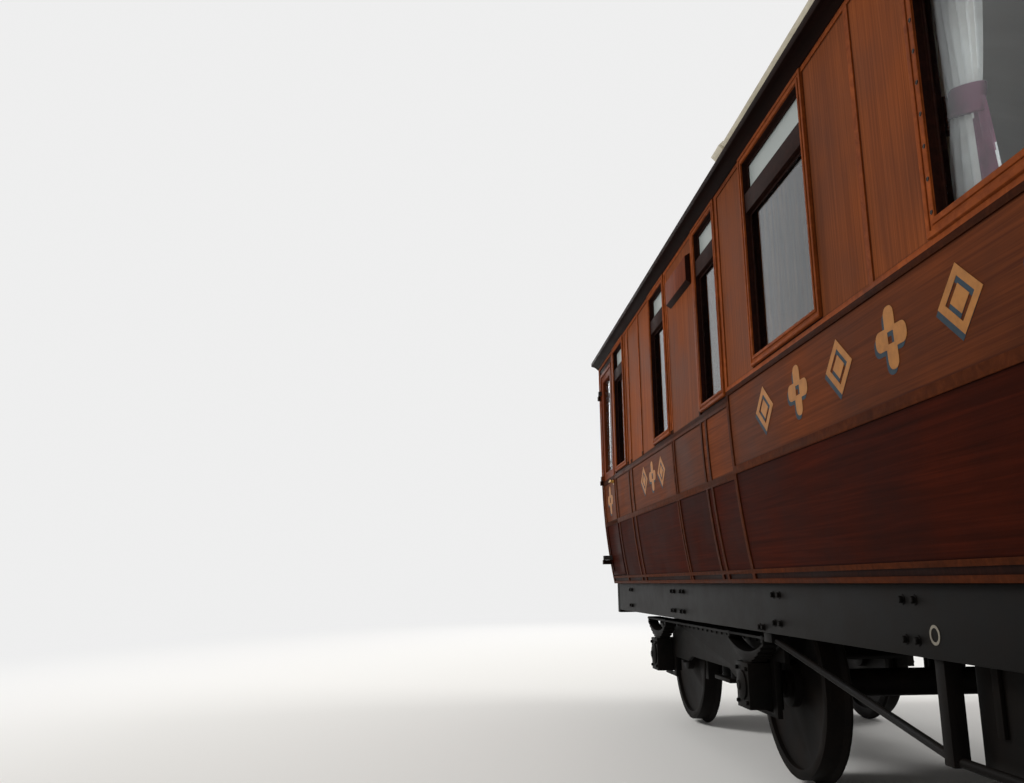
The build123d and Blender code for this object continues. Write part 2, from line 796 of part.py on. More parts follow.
with BuildPart() as roof_vents:
    crown = TOP_CENTRE_Z + math.sqrt(ROOF_RADIUS**2 - VENT_Y**2)
    vent_z = crown + VENT_RISE
    for i in range(VENT_COUNT):
        x = (i - (VENT_COUNT - 1) / 2) * VENT_PITCH
        y = VENT_Y if i % 2 else -VENT_Y
        post(VENT_STEM, x, y, crown - VENT_STEM, vent_z)
        rod_x(VENT_RADIUS, x - VENT_LENGTH / 4, x + VENT_LENGTH / 4, y, vent_z)
        for side in (1, -1):
            cone_x = x + side * VENT_LENGTH * 3 / 8
            with Locations(Location((cone_x, y, vent_z), (0, side * 90, 0))):
                Cone(VENT_RADIUS, VENT_TIP_RADIUS, VENT_LENGTH / 4)
    with BuildSketch(Plane.YZ.offset(-ROOF_LENGTH / 2)):
        with BuildLine():
            roof_curve(-FIT)
            Line(roof_point(-FIT, 0, 1), roof_point(-FIT, 0, -1))
        make_face()
    extrude(amount=ROOF_LENGTH, mode=Mode.SUBTRACT)
finish(roof_vents.part, "roof_vents")

# Ventilator hoods on the panels, sloping underneath
with BuildPart() as vent_hoods:
    hood_top = BODY_BOTTOM + HOOD_TOP
    hood_face = HALF_WIDTH + HOOD_REACH
    for x in both((HOOD_X,)):
        with BuildSketch(Plane.YZ.offset(x - HOOD_WIDTH / 2)):
            with BuildLine():
                Polyline(
                    (HALF_WIDTH, hood_top),
                    (hood_face, hood_top - HOOD_SLOPE),
                    (hood_face, hood_top - HOOD_HEIGHT + HOOD_SLOPE),
                    (HALF_WIDTH, hood_top - HOOD_HEIGHT),
                    close=True,
                )
            make_face()
        extrude(amount=HOOD_WIDTH)
    mirror(about=Plane.XZ)
finish(vent_hoods.part, "vent_hoods")

# Floor between the walls
with BuildPart() as floor:
    with BuildSketch(Plane.YZ.offset(-HALF_LENGTH + END_WALL)):
        with BuildLine():
            low_y = side_y(-WALL - FIT, FLOOR_BOTTOM)
            high_y = side_y(-WALL - FIT, FLOOR_TOP)
            Polyline(
                (-low_y, FLOOR_BOTTOM),
                (low_y, FLOOR_BOTTOM),
                (high_y - FIT, FLOOR_TOP),
                (-high_y + FIT, FLOOR_TOP),
                close=True,
            )
        make_face()
    extrude(amount=BODY_LENGTH - 2 * END_WALL)
finish(floor.part, "floor")

# Solebars: a channel along each side, open inwards
FRAME_END = HALF_LENGTH - HEADSTOCK

with BuildPart() as solebars:
    for side in (1, -1):
        outer = side * SOLEBAR_Y
        back = side * (SOLEBAR_Y - SOLEBAR_FLANGE)
        web = side * (SOLEBAR_Y - SOLEBAR_WEB)
        block(-FRAME_END, FRAME_END, web, outer, SOLEBAR_BOTTOM, BODY_BOTTOM)
        for low in (SOLEBAR_BOTTOM, BODY_BOTTOM - SOLEBAR_WEB):
            block(-FRAME_END, FRAME_END, back, web, low, low + SOLEBAR_WEB)
finish(solebars.part, "solebars")


def cross_member(x, width, depth):
    """Beam between the solebars, with a packing on top that carries the floor."""
    reach = SOLEBAR_Y - SOLEBAR_FLANGE
    block(x - width / 2, x + width / 2, -reach, reach, BODY_BOTTOM - depth, BODY_BOTTOM)
    inside = side_y(-WALL - FIT, BODY_BOTTOM) - FIT
    block(x - width / 2, x + width / 2, -inside, inside, BODY_BOTTOM, FLOOR_BOTTOM)


with BuildPart() as crossbars:
    for x in both(CROSSBARS_X):
        cross_member(x, CROSSBAR, CROSSBAR_DEPTH)
finish(crossbars.part, "crossbars")

with BuildPart() as body_bolsters:
    for x in both((PIVOT_X,)):
        cross_member(x, BODY_BOLSTER, BODY_BOLSTER_DEPTH)
        low = BODY_BOTTOM - BODY_BOLSTER_DEPTH
        post(PIVOT_RADIUS, x, 0, BOLSTER_Z + FIT, low)
        post(KINGPIN_RADIUS, x, 0, BOLSTER_Z - KINGPIN_DROP, low)
finish(body_bolsters.part, "body_bolsters")

# Longitudinals between the cross members
with BuildPart() as longitudinals:
    members = [(x, CROSSBAR / 2) for x in both(CROSSBARS_X)]
    members += [(x, BODY_BOLSTER / 2) for x in both((PIVOT_X,))]
    members += [(x, 0) for x in both((FRAME_END,))]
    members.sort()
    for (x0, half0), (x1, half1) in zip(members, members[1:]):
        for y in both((LONGITUDINAL_Y,)):
            block(
                x0 + half0,
                x1 - half1,
                y - CROSSBAR / 2,
                y + CROSSBAR / 2,
                FLOOR_BOTTOM - CROSSBAR_DEPTH,
                FLOOR_BOTTOM,
            )
finish(longitudinals.part, "longitudinals")

with BuildPart() as headstocks:
    for end in (1, -1):
        x = end * HALF_LENGTH
        low = BODY_BOTTOM - HEADSTOCK_DEPTH
        block(end * FRAME_END, x, -SOLEBAR_Y, SOLEBAR_Y, low, BODY_BOTTOM)
        high = BODY_BOTTOM + HEADSTOCK_RAISE
        block(x, end * PLATE_X, -SOLEBAR_Y, SOLEBAR_Y, low, high)
finish(headstocks.part, "headstocks")

# Truss rods under each solebar, with queen posts
with BuildPart() as truss_rods:
    low = SOLEBAR_BOTTOM - TRUSS_DROP
    for side in (1, -1):
        y = side * TRUSS_Y
        for x in both((QUEEN_X,)):
            half = QUEEN_POST / 2
            block(x - half, x + half, y - half, y + half, low - TRUSS_ROD, SOLEBAR_BOTTOM)
        rod_x(TRUSS_ROD, -QUEEN_X, QUEEN_X, y, low)
        rise = TRUSS_DROP - 2 * TRUSS_ROD
        run = TRUSS_END_X - QUEEN_X
        slope = math.degrees(math.atan2(rise, run))
        for end in (1, -1):
            middle = (end * (QUEEN_X + run / 2), y, low + rise / 2)
            with Locations(Location(middle, (0, 90 - end * slope, 0))):
                Cylinder(TRUSS_ROD, math.hypot(rise, run) + TRUSS_ROD)
            x = end * TRUSS_END_X
            half = QUEEN_POST
            block(
                x - half,
                x + half,
                y - QUEEN_POST / 2,
                y + QUEEN_POST / 2,
                SOLEBAR_BOTTOM - 3 * TRUSS_ROD,
                SOLEBAR_BOTTOM,
            )
finish(truss_rods.part, "truss_rods")

# Battery boxes and brake cylinders hang from the crossbars
with BuildPart() as battery_boxes:
    length, width, height = BATTERY_SIZE
    high = BODY_BOTTOM - CROSSBAR_DEPTH
    for side in (1, -1):
        for x in BATTERY_X:
            y = side * BATTERY_Y
            block(
                x - length / 2,
                x + length / 2,
                y - width / 2,
                y + width / 2,
                high - height,
                high,
            )
finish(battery_boxes.part, "battery_boxes")

with BuildPart() as brake_cylinders:
    high = FLOOR_BOTTOM - CROSSBAR_DEPTH
    for x in both((CYLINDER_X,)):
        post(CYLINDER_RADIUS, x, 0, high - CYLINDER_HEIGHT, high - QUEEN_POST)
        reach = LONGITUDINAL_Y + CROSSBAR / 2
        block(x - CROSSBAR, x + CROSSBAR, -reach, reach, high - QUEEN_POST, high)
finish(brake_cylinders.part, "brake_cylinders")

# Buffers, turned about their own axis
with BuildPart() as buffers:
    turning = Plane(
        origin=(PLATE_X, BUFFER_Y, BUFFER_Z),
        x_dir=(1, 0, 0),
        z_dir=(0, 1, 0),
    )
    with BuildSketch(turning):
        with BuildLine():
            head_back = BUFFER_LENGTH - BUFFER_HEAD
            Polyline(
                (0, 0),
                (0, BUFFER_FLANGE_RADIUS),
                (BUFFER_FLANGE, BUFFER_FLANGE_RADIUS),
                (BUFFER_FLANGE, BUFFER_STOCK_RADIUS),
                (BUFFER_STOCK_LENGTH, BUFFER_NOSE_RADIUS),
                (BUFFER_STOCK_LENGTH, BUFFER_ROD_RADIUS),
                (head_back - BUFFER_ROD_RADIUS, BUFFER_ROD_RADIUS),
                (head_back, BUFFER_NOSE_RADIUS),
                (head_back, BUFFER_HEAD_RADIUS),
                (BUFFER_LENGTH - BUFFER_HEAD / 2, BUFFER_HEAD_RADIUS),
            )
            TangentArc(
                (BUFFER_LENGTH, 0),
                (BUFFER_LENGTH - BUFFER_HEAD / 2, BUFFER_HEAD_RADIUS),
                tangent=(0, 1),
            )
            Line((BUFFER_LENGTH, 0), (0, 0))
        make_face()
    revolve(axis=Axis((PLATE_X, BUFFER_Y, BUFFER_Z), (1, 0, 0)))
    mirror(about=Plane.XZ)
    mirror(about=Plane.YZ)
finish(buffers.part, "buffers")

# Drawhook, and a screw coupling that hangs from it
with BuildPart() as drawgear:
    for end in (1, -1):
        x = end * PLATE_X
        half = DRAW_PLATE_SIZE / 2
        block(x, x + end * DRAW_PLATE, -half, half, BUFFER_Z - half, BUFFER_Z + DRAW_PLATE_TOP)
        hook_plane = Plane(
            origin=(x, HOOK_THICKNESS / 2, BUFFER_Z),
            x_dir=(end, 0, 0),
            z_dir=(0, -end, 0),
        )
        hook_plane = hook_plane.offset(0 if end > 0 else -HOOK_THICKNESS)
        with BuildSketch(hook_plane):
            with BuildLine():
                Polyline(*HOOK_OUTLINE, close=True)
            make_face()
        extrude(amount=HOOK_THICKNESS)
        link_x = x + end * LINK_REACH
        low = BUFFER_Z - LINK_LENGTH
        foot = low - LINK_LENGTH
        end_z = foot - LOWER_LINK
        span = LINK_Y + LINK_PIN
        rod_y(LINK_PIN, link_x, BUFFER_Z, -span, span)
        rod_y(LINK_PIN, link_x, low, -span, span)
        rod_y(LINK_PIN, link_x, foot, -span, span)
        rod_y(LINK_PIN, link_x, end_z, -span, span)
        post(LINK_SCREW, link_x, 0, foot, low)
        for y in (LINK_Y, -LINK_Y):
            post(LINK_ROD, link_x, y, low, BUFFER_Z)
            post(LINK_ROD, link_x, y, end_z, foot)
finish(drawgear.part, "drawgear")

# Gangways: folded bellows against the end wall, and their face frames
TUBE_HALF = GANGWAY_WIDTH / 2 + BELLOWS_MARGIN
TUBE_LOW = BODY_BOTTOM + HEADSTOCK_RAISE + FIT
TUBE_HIGH = FLOOR_TOP + GANGWAY_HEIGHT + BELLOWS_MARGIN


def gangway_ring(x0, x1):
    """A frame around the gangway between two places along X."""
    outer = TUBE_HALF + BELLOWS_WALL
    block(x0, x1, -outer, outer, TUBE_LOW, TUBE_HIGH + BELLOWS_WALL)
    block(
        x0,
        x1,
        -TUBE_HALF,
        TUBE_HALF,
        TUBE_LOW + BELLOWS_WALL,
        TUBE_HIGH,
        Mode.SUBTRACT,
    )


with BuildPart() as gangway_bellows:
    gangway_ring(HALF_LENGTH, HALF_LENGTH + BELLOWS_LENGTH)
    mirror(about=Plane.YZ)
finish(gangway_bellows.part, "gangway_bellows")

with BuildPart() as gangway_frames:
    start = HALF_LENGTH + BELLOWS_LENGTH
    gangway_ring(start, start + FACE_PLATE)
    mirror(about=Plane.YZ)
finish(gangway_frames.part, "gangway_frames")


# Doors. Each is drawn with its hinge at the origin of X, leaf towards -X, on the
# left side, then moved to its doorway.
def door_leaf():
    """Leaf with its raised mouldings, window opening and hinge knuckles."""
    with BuildPart() as leaf:
        foot = BODY_BOTTOM + DOOR_FOOT
        head = BODY_BOTTOM + DOOR_HEAD
        with BuildSketch(Plane.YZ.offset(-DOOR_WIDTH)):
            side_strip(-DOOR_THICKNESS, BEAD, foot, head)
        extrude(amount=DOOR_WIDTH)
        with BuildSketch(Plane.XZ.offset(-HALF_WIDTH - LOOK_THROUGH)):
            panels = (
                # (low, high) between the door's own rails
                (foot + DOOR_BEAD, BODY_BOTTOM + MID_RAIL_LOW - MID_RAIL / 2),
                (
                    BODY_BOTTOM + MID_RAIL_LOW + MID_RAIL / 2,
                    BODY_BOTTOM + WAIST_RAIL_LOW - WAIST_RAIL / 2,
                ),
                (BODY_BOTTOM + WAIST_RAIL_LOW + WAIST_RAIL / 2, head - DOOR_BEAD),
            )
            for low, high in panels:
                with Locations((-DOOR_WIDTH / 2, (low + high) / 2)):
                    Rectangle(DOOR_WIDTH - 2 * DOOR_BEAD, high - low)
        extrude(amount=2 * LOOK_THROUGH, mode=Mode.SUBTRACT)
        with BuildSketch(Plane.YZ.offset(-DOOR_WIDTH)):
            side_strip(-DOOR_THICKNESS, 0, foot, head)
        extrude(amount=DOOR_WIDTH)
        half = DOOR_GLASS_WIDTH / 2
        block(
            -DOOR_WIDTH / 2 - half,
            -DOOR_WIDTH / 2 + half,
            HALF_WIDTH - LOOK_THROUGH,
            HALF_WIDTH + LOOK_THROUGH,
            BODY_BOTTOM + DOOR_GLASS_SILL,
            BODY_BOTTOM + DOOR_GLASS_HEAD,
            Mode.SUBTRACT,
        )
        post(DOOR_WIDTH, 0, HINGE_Y, 0, WALL_TOP, Mode.INTERSECT)
        for height in HINGE_HEIGHTS:
            low = BODY_BOTTOM + height
            high = low + KNUCKLE_HEIGHT
            post(KNUCKLE_RADIUS, 0, HINGE_Y, low, high)
            block(
                -HINGE_STRAP,
                0,
                side_y(-DOOR_THICKNESS / 2, low),
                HINGE_Y + KNUCKLE_RADIUS,
                low,
                high,
            )
    return leaf.part


def door_pane():
    """Glass of a door, in the leaf's window opening."""
    with BuildPart() as pane:
        half = DOOR_GLASS_WIDTH / 2
        pane_y = HALF_WIDTH - DOOR_THICKNESS / 2
        block(
            -DOOR_WIDTH / 2 - half,
            -DOOR_WIDTH / 2 + half,
            pane_y - GLASS,
            pane_y,
            BODY_BOTTOM + DOOR_GLASS_SILL,
            BODY_BOTTOM + DOOR_GLASS_HEAD,
        )
    return pane.part


DOORS = (
    # (name, end along X, side along Y)
    ("door_left_b", 1, 1),
    ("door_left_a", -1, 1),
    ("door_right_b", 1, -1),
    ("door_right_a", -1, -1),
)

for name, end, side in DOORS:
    hinge_x = side * (end * side * DOOR_X + DOOR_WIDTH / 2)
    turn = 0 if side > 0 else 180
    with BuildPart() as door:
        add(door_leaf().rotate(Axis.Z, turn).translate((hinge_x, 0, 0)))
    finish(door.part, name)
    with BuildPart() as glass:
        add(door_pane().rotate(Axis.Z, turn).translate((hinge_x, 0, 0)))
    finish(glass.part, name + "_glass")

# Bogies, drawn about their pivot and then moved to it
BOX_BOTTOM = AXLE_Z - BOX_HEIGHT / 2
BOX_TOP = AXLE_Z + BOX_HEIGHT / 2
PLATE_TOP = RAIL + SIDEPLATE_TOP
SPRING_LOW = BOX_TOP + FIT
SPRING_TOP = SPRING_LOW + LEAVES * LEAF
SPRING_RISE = LEAF_RADIUS - math.sqrt(LEAF_RADIUS**2 - LEAF_HALF**2)


def bogie_frame():
    """Two side plates with horns and flanges, two transoms and the brake gear."""
    with BuildPart() as frame:
        with BuildSketch(Plane.XZ.offset(-SIDEPLATE_Y)):
            with Locations((0, PLATE_TOP - SIDEPLATE_BEAM / 2)):
                Rectangle(2 * SIDEPLATE_HALF, SIDEPLATE_BEAM)
            with BuildLine():
                beam_low = PLATE_TOP - SIDEPLATE_BEAM / 2
                for_horn = AXLE_X - HORN_HALF
                Polyline(
                    (-for_horn, beam_low),
                    (for_horn, beam_low),
                    (for_horn, RAIL + WEB_BOTTOM),
                    (WEB_HALF, RAIL + WEB_BOTTOM),
                    (WEB_TOE_HALF, RAIL + WEB_BOTTOM + WEB_ARCH),
                    (-WEB_TOE_HALF, RAIL + WEB_BOTTOM + WEB_ARCH),
                    (-WEB_HALF, RAIL + WEB_BOTTOM),
                    (-for_horn, RAIL + WEB_BOTTOM),
                    close=True,
                )
            make_face()
            for x in both((AXLE_X,)):
                low = RAIL + HORN_BOTTOM
                with Locations((x, (low + beam_low) / 2)):
                    Rectangle(2 * HORN_HALF, beam_low - low)
            for x in both((AXLE_X,)):
                slot_low = RAIL + HORN_BOTTOM + KEEPER
                slot_high = SPRING_LOW + LEAVES * LEAF
                with Locations((x, (slot_low + slot_high) / 2)):
                    width = 2 * (BOX_HALF + FIT)
                    Rectangle(width, slot_high - slot_low, mode=Mode.SUBTRACT)
        extrude(amount=-SIDEPLATE)
        block(
            -SIDEPLATE_HALF,
            SIDEPLATE_HALF,
            SIDEPLATE_Y,
            SIDEPLATE_Y + FRAME_FLANGE_WIDTH,
            PLATE_TOP,
            PLATE_TOP + FRAME_FLANGE,
        )
        shoe_z = SPRING_TOP + SPRING_RISE + FIT
        for x in both((AXLE_X,)):
            for offset in both((LEAF_HALF - SHOE / 2,)):
                block(
                    x + offset - SHOE / 2,
                    x + offset + SHOE / 2,
                    SIDEPLATE_Y + SIDEPLATE,
                    LEAF_Y + LEAF_WIDTH / 2,
                    shoe_z,
                    shoe_z + SHOE,
                )
        mirror(about=Plane.XZ)
        for x in both((TRANSOM_X,)):
            block(
                x - BOGIE_TRANSOM / 2,
                x + BOGIE_TRANSOM / 2,
                -SIDEPLATE_Y,
                SIDEPLATE_Y,
                PLATE_TOP - BOGIE_TRANSOM_DEPTH,
                PLATE_TOP,
            )
        add(brake_gear())
    return frame.part


def brake_gear():
    """Shoes inside the wheels on hangers and a cross tube for each axle."""
    with BuildPart() as gear:
        reach = TREAD_RADIUS + SHOE_GAP
        for end in (1, -1):
            centre = end * AXLE_X
            shoe_x = centre - end * (reach + BRAKE_SHOE / 2)
            for y in both((HANGER_Y,)):
                with BuildSketch(Plane.XZ.offset(-y - BRAKE_SHOE_WIDTH / 2)):
                    turn = math.radians(BRAKE_SHOE_ARC)
                    inner = [reach * math.cos(turn), reach * math.sin(turn)]
                    far = reach + BRAKE_SHOE
                    with BuildLine():
                        Line(
                            (centre - end * inner[0], AXLE_Z - inner[1]),
                            (centre - end * far, AXLE_Z - inner[1]),
                        )
                        Line(
                            (centre - end * far, AXLE_Z - inner[1]),
                            (centre - end * far, AXLE_Z + inner[1]),
                        )
                        Line(
                            (centre - end * far, AXLE_Z + inner[1]),
                            (centre - end * inner[0], AXLE_Z + inner[1]),
                        )
                        ThreePointArc(
                            (centre - end * inner[0], AXLE_Z + inner[1]),
                            (centre - end * reach, AXLE_Z),
                            (centre - end * inner[0], AXLE_Z - inner[1]),
                        )
                    make_face()
                extrude(amount=BRAKE_SHOE_WIDTH)
                hanger_x = centre - end * (far - HANGER / 2)
                transom = end * (TRANSOM_X + BOGIE_TRANSOM / 2)
                top = PLATE_TOP - HANGER
                block(
                    hanger_x - HANGER / 2,
                    hanger_x + HANGER / 2,
                    y - HANGER / 2,
                    y + HANGER / 2,
                    AXLE_Z,
                    top,
                )
                block(
                    transom,
                    hanger_x + end * HANGER / 2,
                    y - HANGER / 2,
                    y + HANGER / 2,
                    top - HANGER,
                    top,
                )
            tube_x = centre - end * (TREAD_RADIUS + FLANGE_DEPTH + SHOE_GAP + BRAKE_TUBE)
            rod_y(BRAKE_TUBE, tube_x, AXLE_Z, -HANGER_Y, HANGER_Y)
    return gear.part


def bogie_bolster():
    """Swinging bolster on coil springs, its plank and links."""
    with BuildPart() as bolster:
        low = RAIL + BOLSTER_TOP - BOLSTER_DEPTH
        high = RAIL + BOLSTER_TOP
        half = BOLSTER_HALF
        block(-half, half, -BOLSTER_HALF_WIDTH, BOLSTER_HALF_WIDTH, low, high)
        post(PIVOT_RADIUS, 0, 0, high, BOLSTER_Z)
        plank_low = RAIL + PLANK_BOTTOM
        block(-half, half, -BOLSTER_HALF_WIDTH, BOLSTER_HALF_WIDTH, plank_low, plank_low + PLANK)
        link_out = TRANSOM_X - BOGIE_TRANSOM / 2
        for y in both((COIL_Y,)):
            for x in both((COIL_X,)):
                post(COIL_RADIUS, x, y, plank_low + PLANK, low)
            for x in both((link_out - SWING_LINK / 2,)):
                block(
                    x - SWING_LINK / 2,
                    x + SWING_LINK / 2,
                    y - SWING_LINK / 2,
                    y + SWING_LINK / 2,
                    plank_low,
                    PLATE_TOP - SWING_LINK,
                )
            reach = link_out - SWING_LINK
            block(-reach, reach, y - SWING_LINK / 2, y + SWING_LINK / 2, plank_low, plank_low + PLANK)
        post(KINGPIN_RADIUS + BEARING_FIT, 0, 0, low - PLANK, BOLSTER_Z, Mode.SUBTRACT)
    return bolster.part


def axleboxes_and_springs():
    """An axlebox for each journal, with a leaf spring on top of it."""
    with BuildPart() as springs:
        for x in both((AXLE_X,)):
            block(
                x - BOX_HALF,
                x + BOX_HALF,
                BOX_INNER_Y,
                BOX_OUTER_Y,
                BOX_BOTTOM,
                BOX_TOP,
            )
            rod_y(
                JOURNAL_RADIUS + BEARING_FIT,
                x,
                AXLE_Z,
                BOX_INNER_Y,
                JOURNAL_END + 2 * BEARING_FIT,
                Mode.SUBTRACT,
            )
            half_width = LEAF_WIDTH / 2
            block(
                x - BUCKLE_HALF,
                x + BUCKLE_HALF,
                LEAF_Y - half_width,
                LEAF_Y + half_width,
                BOX_TOP,
                SPRING_TOP,
            )
            for i in range(LEAVES):
                reach = LEAF_HALF - (LEAVES - 1 - i) * LEAF_STEP
                outer = LEAF_RADIUS + (LEAVES - i) * LEAF
                inner = outer - LEAF
                centre_z = SPRING_TOP + LEAF_RADIUS
                turn = math.asin(reach / LEAF_RADIUS)
                with BuildSketch(Plane.XZ.offset(-LEAF_Y - half_width)):
                    with BuildLine():
                        ends = []
                        for radius in (inner, outer):
                            dx = radius * math.sin(turn)
                            dz = radius * math.cos(turn)
                            ThreePointArc(
                                (x - dx, centre_z - dz),
                                (x, centre_z - radius),
                                (x + dx, centre_z - dz),
                            )
                            ends.append((dx, dz))
                        for side in (1, -1):
                            Line(
                                (x + side * ends[0][0], centre_z - ends[0][1]),
                                (x + side * ends[1][0], centre_z - ends[1][1]),
                            )
                    make_face()
                extrude(amount=LEAF_WIDTH)
        mirror(about=Plane.XZ)
    return springs.part


for name, x in (("a", -PIVOT_X), ("b", PIVOT_X)):
    with BuildPart() as bogie:
        add(bogie_frame().translate((x, 0, 0)))
    finish(bogie.part, f"bogie_{name}_frame")
    with BuildPart() as swing:
        add(bogie_bolster().translate((x, 0, 0)))
    finish(swing.part, f"bogie_{name}_bolster")
    with BuildPart() as boxes:
        add(axleboxes_and_springs().translate((x, 0, 0)))
    finish(boxes.part, f"bogie_{name}_axleboxes")

# Wheelsets, turned about the axle
for number, x in enumerate(
    (-PIVOT_X - AXLE_X, -PIVOT_X + AXLE_X, PIVOT_X - AXLE_X, PIVOT_X + AXLE_X), 1
):
    with BuildPart() as wheelset:
        turning = Plane(origin=(x, 0, AXLE_Z), x_dir=(0, 1, 0), z_dir=(1, 0, 0))
        with BuildSketch(turning):
            with BuildLine():
                face = WHEEL_BACK + WHEEL_RIM
                hub_in = WHEEL_BACK + (WHEEL_RIM - HUB_WIDTH) / 2
                hub_out = hub_in + HUB_WIDTH
                disc_in = WHEEL_BACK + (WHEEL_RIM - DISC) / 2
                disc_out = disc_in + DISC
                tyre_in = TREAD_RADIUS - TYRE
                flange = TREAD_RADIUS + FLANGE_DEPTH
                Polyline(
                    (0, 0),
                    (0, AXLE_RADIUS),
                    (hub_in, AXLE_RADIUS),
                    (hub_in, HUB_RADIUS),
                    (disc_in, HUB_RADIUS),
                    (disc_in, tyre_in),
                    (WHEEL_BACK, tyre_in),
                    (WHEEL_BACK, flange - FLANGE_DEPTH / 3),
                    (WHEEL_BACK + FLANGE_WIDTH / 3, flange),
                    (WHEEL_BACK + FLANGE_WIDTH * 2 / 3, flange),
                    (WHEEL_BACK + FLANGE_WIDTH + FLANGE_DEPTH / 3, TREAD_RADIUS),
                    (face, TREAD_RADIUS - FLANGE_DEPTH / 6),
                    (face, tyre_in),
                    (disc_out, tyre_in),
                    (disc_out, HUB_RADIUS),
                    (hub_out, HUB_RADIUS),
                    (hub_out, AXLE_RADIUS),
                    (JOURNAL_START, AXLE_RADIUS),
                    (JOURNAL_START, JOURNAL_RADIUS),
                    (JOURNAL_END, JOURNAL_RADIUS),
                    (JOURNAL_END, 0),
                    close=True,
                )
            make_face()
        revolve(axis=Axis((x, 0, AXLE_Z), (0, 1, 0)))
        mirror(about=Plane.XZ)
    finish(wheelset.part, f"wheelset_{number}")

# Partitions with a passage down the middle
with BuildPart() as partitions:
    for x in both(PARTITIONS_X):
        with BuildSketch(Plane.YZ.offset(x - PARTITION / 2)):
            with BuildLine():
                low_y = side_y(-WALL - FIT, FLOOR_TOP)
                for side in (1, -1):
                    middle = (FLOOR_TOP + TUMBLE_TOP) / 2
                    inner = side * side_y(-WALL - FIT, TUMBLE_TOP)
                    ThreePointArc(
                        (side * low_y, FLOOR_TOP),
                        (side * side_y(-WALL - FIT, middle), middle),
                        (inner, TUMBLE_TOP),
                    )
                    shoulder = roof_point(ROOF_THICKNESS + FIT, 0, side)
                    Polyline((inner, TUMBLE_TOP), (inner, WALL_TOP), shoulder)
                roof_curve(ROOF_THICKNESS + FIT)
                Line((low_y, FLOOR_TOP), (-low_y, FLOOR_TOP))
            make_face()
            with Locations((0, FLOOR_TOP)):
                Rectangle(
                    PASSAGE_WIDTH,
                    PASSAGE_HEIGHT,
                    align=(Align.CENTER, Align.MIN),
                    mode=Mode.SUBTRACT,
                )
        extrude(amount=PARTITION)
finish(partitions.part, "partitions")


# Chairs on each side of the passage, facing the tables
def seat_places():
    """Centre, side and facing of every chair."""
    for x, face in zip(SEATS_X, SEATS_FACE):
        for end in (1, -1):
            for side in (1, -1):
                yield end * x, side * SEAT_Y, end * face


with BuildPart() as seat_frames:
    for x, y, face in seat_places():
        half = SEAT_WIDTH / 2
        front = x + face * SEAT_DEPTH / 2
        back = x - face * SEAT_DEPTH / 2
        high = FLOOR_TOP + SEAT_HEIGHT
        block(back, front, y - half, y + half, FLOOR_TOP, high)
        top = high + CUSHION + ARM_HEIGHT
        for edge in (1, -1):
            outer = y + edge * half
            block(back, front, outer, outer - edge * ARM_WIDTH, high, top)
        rear = back - face * ARM_WIDTH / 2
        tall = high + CUSHION + BACK_HEIGHT
        block(rear, back, y - half, y + half, FLOOR_TOP, tall)
finish(seat_frames.part, "seat_frames")

with BuildPart() as seat_cushions:
    for x, y, face in seat_places():
        half = SEAT_WIDTH / 2 - ARM_WIDTH - FIT
        front = x + face * SEAT_DEPTH / 2
        back = x - face * SEAT_DEPTH / 2
        low = FLOOR_TOP + SEAT_HEIGHT + FIT
        inner = back + face * FIT
        block(inner, front, y - half, y + half, low, low + CUSHION)
        pad = back + face * BACK_THICKNESS
        block(inner, pad, y - half, y + half, low + CUSHION, low + CUSHION + BACK_HEIGHT)
finish(seat_cushions.part, "seat_cushions")

# Tables and their lamps
with BuildPart() as tables:
    length, width, thick = TABLE_SIZE
    top = FLOOR_TOP + TABLE_HEIGHT
    for x in both(TABLES_X):
        for side in (1, -1):
            y = side * SEAT_Y
            block(
                x - length / 2,
                x + length / 2,
                y - width / 2,
                y + width / 2,
                top - thick,
                top,
            )
            post(TABLE_LEG, x, y, FLOOR_TOP, top - thick)
            post(TABLE_FOOT, x, y, FLOOR_TOP, FLOOR_TOP + thick)
finish(tables.part, "tables")

with BuildPart() as table_lamps:
    top = FLOOR_TOP + TABLE_HEIGHT
    for side in (1, -1):
        for x in both(TABLES_X):
            lamp_x = x + math.copysign(LAMP_X, x)
            y = side * (SEAT_Y + SEAT_WIDTH / 4)
            post(LAMP_BASE, lamp_x, y, top, top + LAMP_STEM)
            post(LAMP_STEM, lamp_x, y, top, top + LAMP_HEIGHT)
            shade_z = top + LAMP_HEIGHT - SHADE_HEIGHT / 2
            with Locations((lamp_x, y, shade_z)):
                Cone(SHADE_RADIUS, SHADE_TOP, SHADE_HEIGHT)
finish(table_lamps.part, "table_lamps")

# Curtains gathered at each side of the windows that have them, and their rods
INNER_FACE = HALF_WIDTH - WALL
CURTAIN_Y = INNER_FACE - CURTAIN_BACK - CURTAIN_DEPTH / 2

with BuildPart() as curtains_left:
    for x, width, outward in CURTAINS:
        for end in (1, -1):
            centre = end * x
            tie = width * TIE_WIDTH_SHARE / 2
            tie_x = centre + end * outward * (width / 2 - tie)
            high = BODY_BOTTOM + CURTAIN_TOP
            low = BODY_BOTTOM + CURTAIN_FOOT
            with BuildSketch(Plane.XZ.offset(-CURTAIN_Y - CURTAIN_DEPTH / 2)):
                with BuildLine():
                    Polyline(
                        (centre - width / 2, high),
                        (centre + width / 2, high),
                        (tie_x + tie, BODY_BOTTOM + TIE_HEIGHT),
                        (centre + width / 2, low),
                        (centre - width / 2, low),
                        (tie_x - tie, BODY_BOTTOM + TIE_HEIGHT),
                        close=True,
                    )
                make_face()
            extrude(amount=CURTAIN_DEPTH)
finish(curtains_left.part, "curtains_left")

with BuildPart() as curtains_right:
    mirror(curtains_left.part, about=Plane.XZ)
finish(curtains_right.part, "curtains_right")

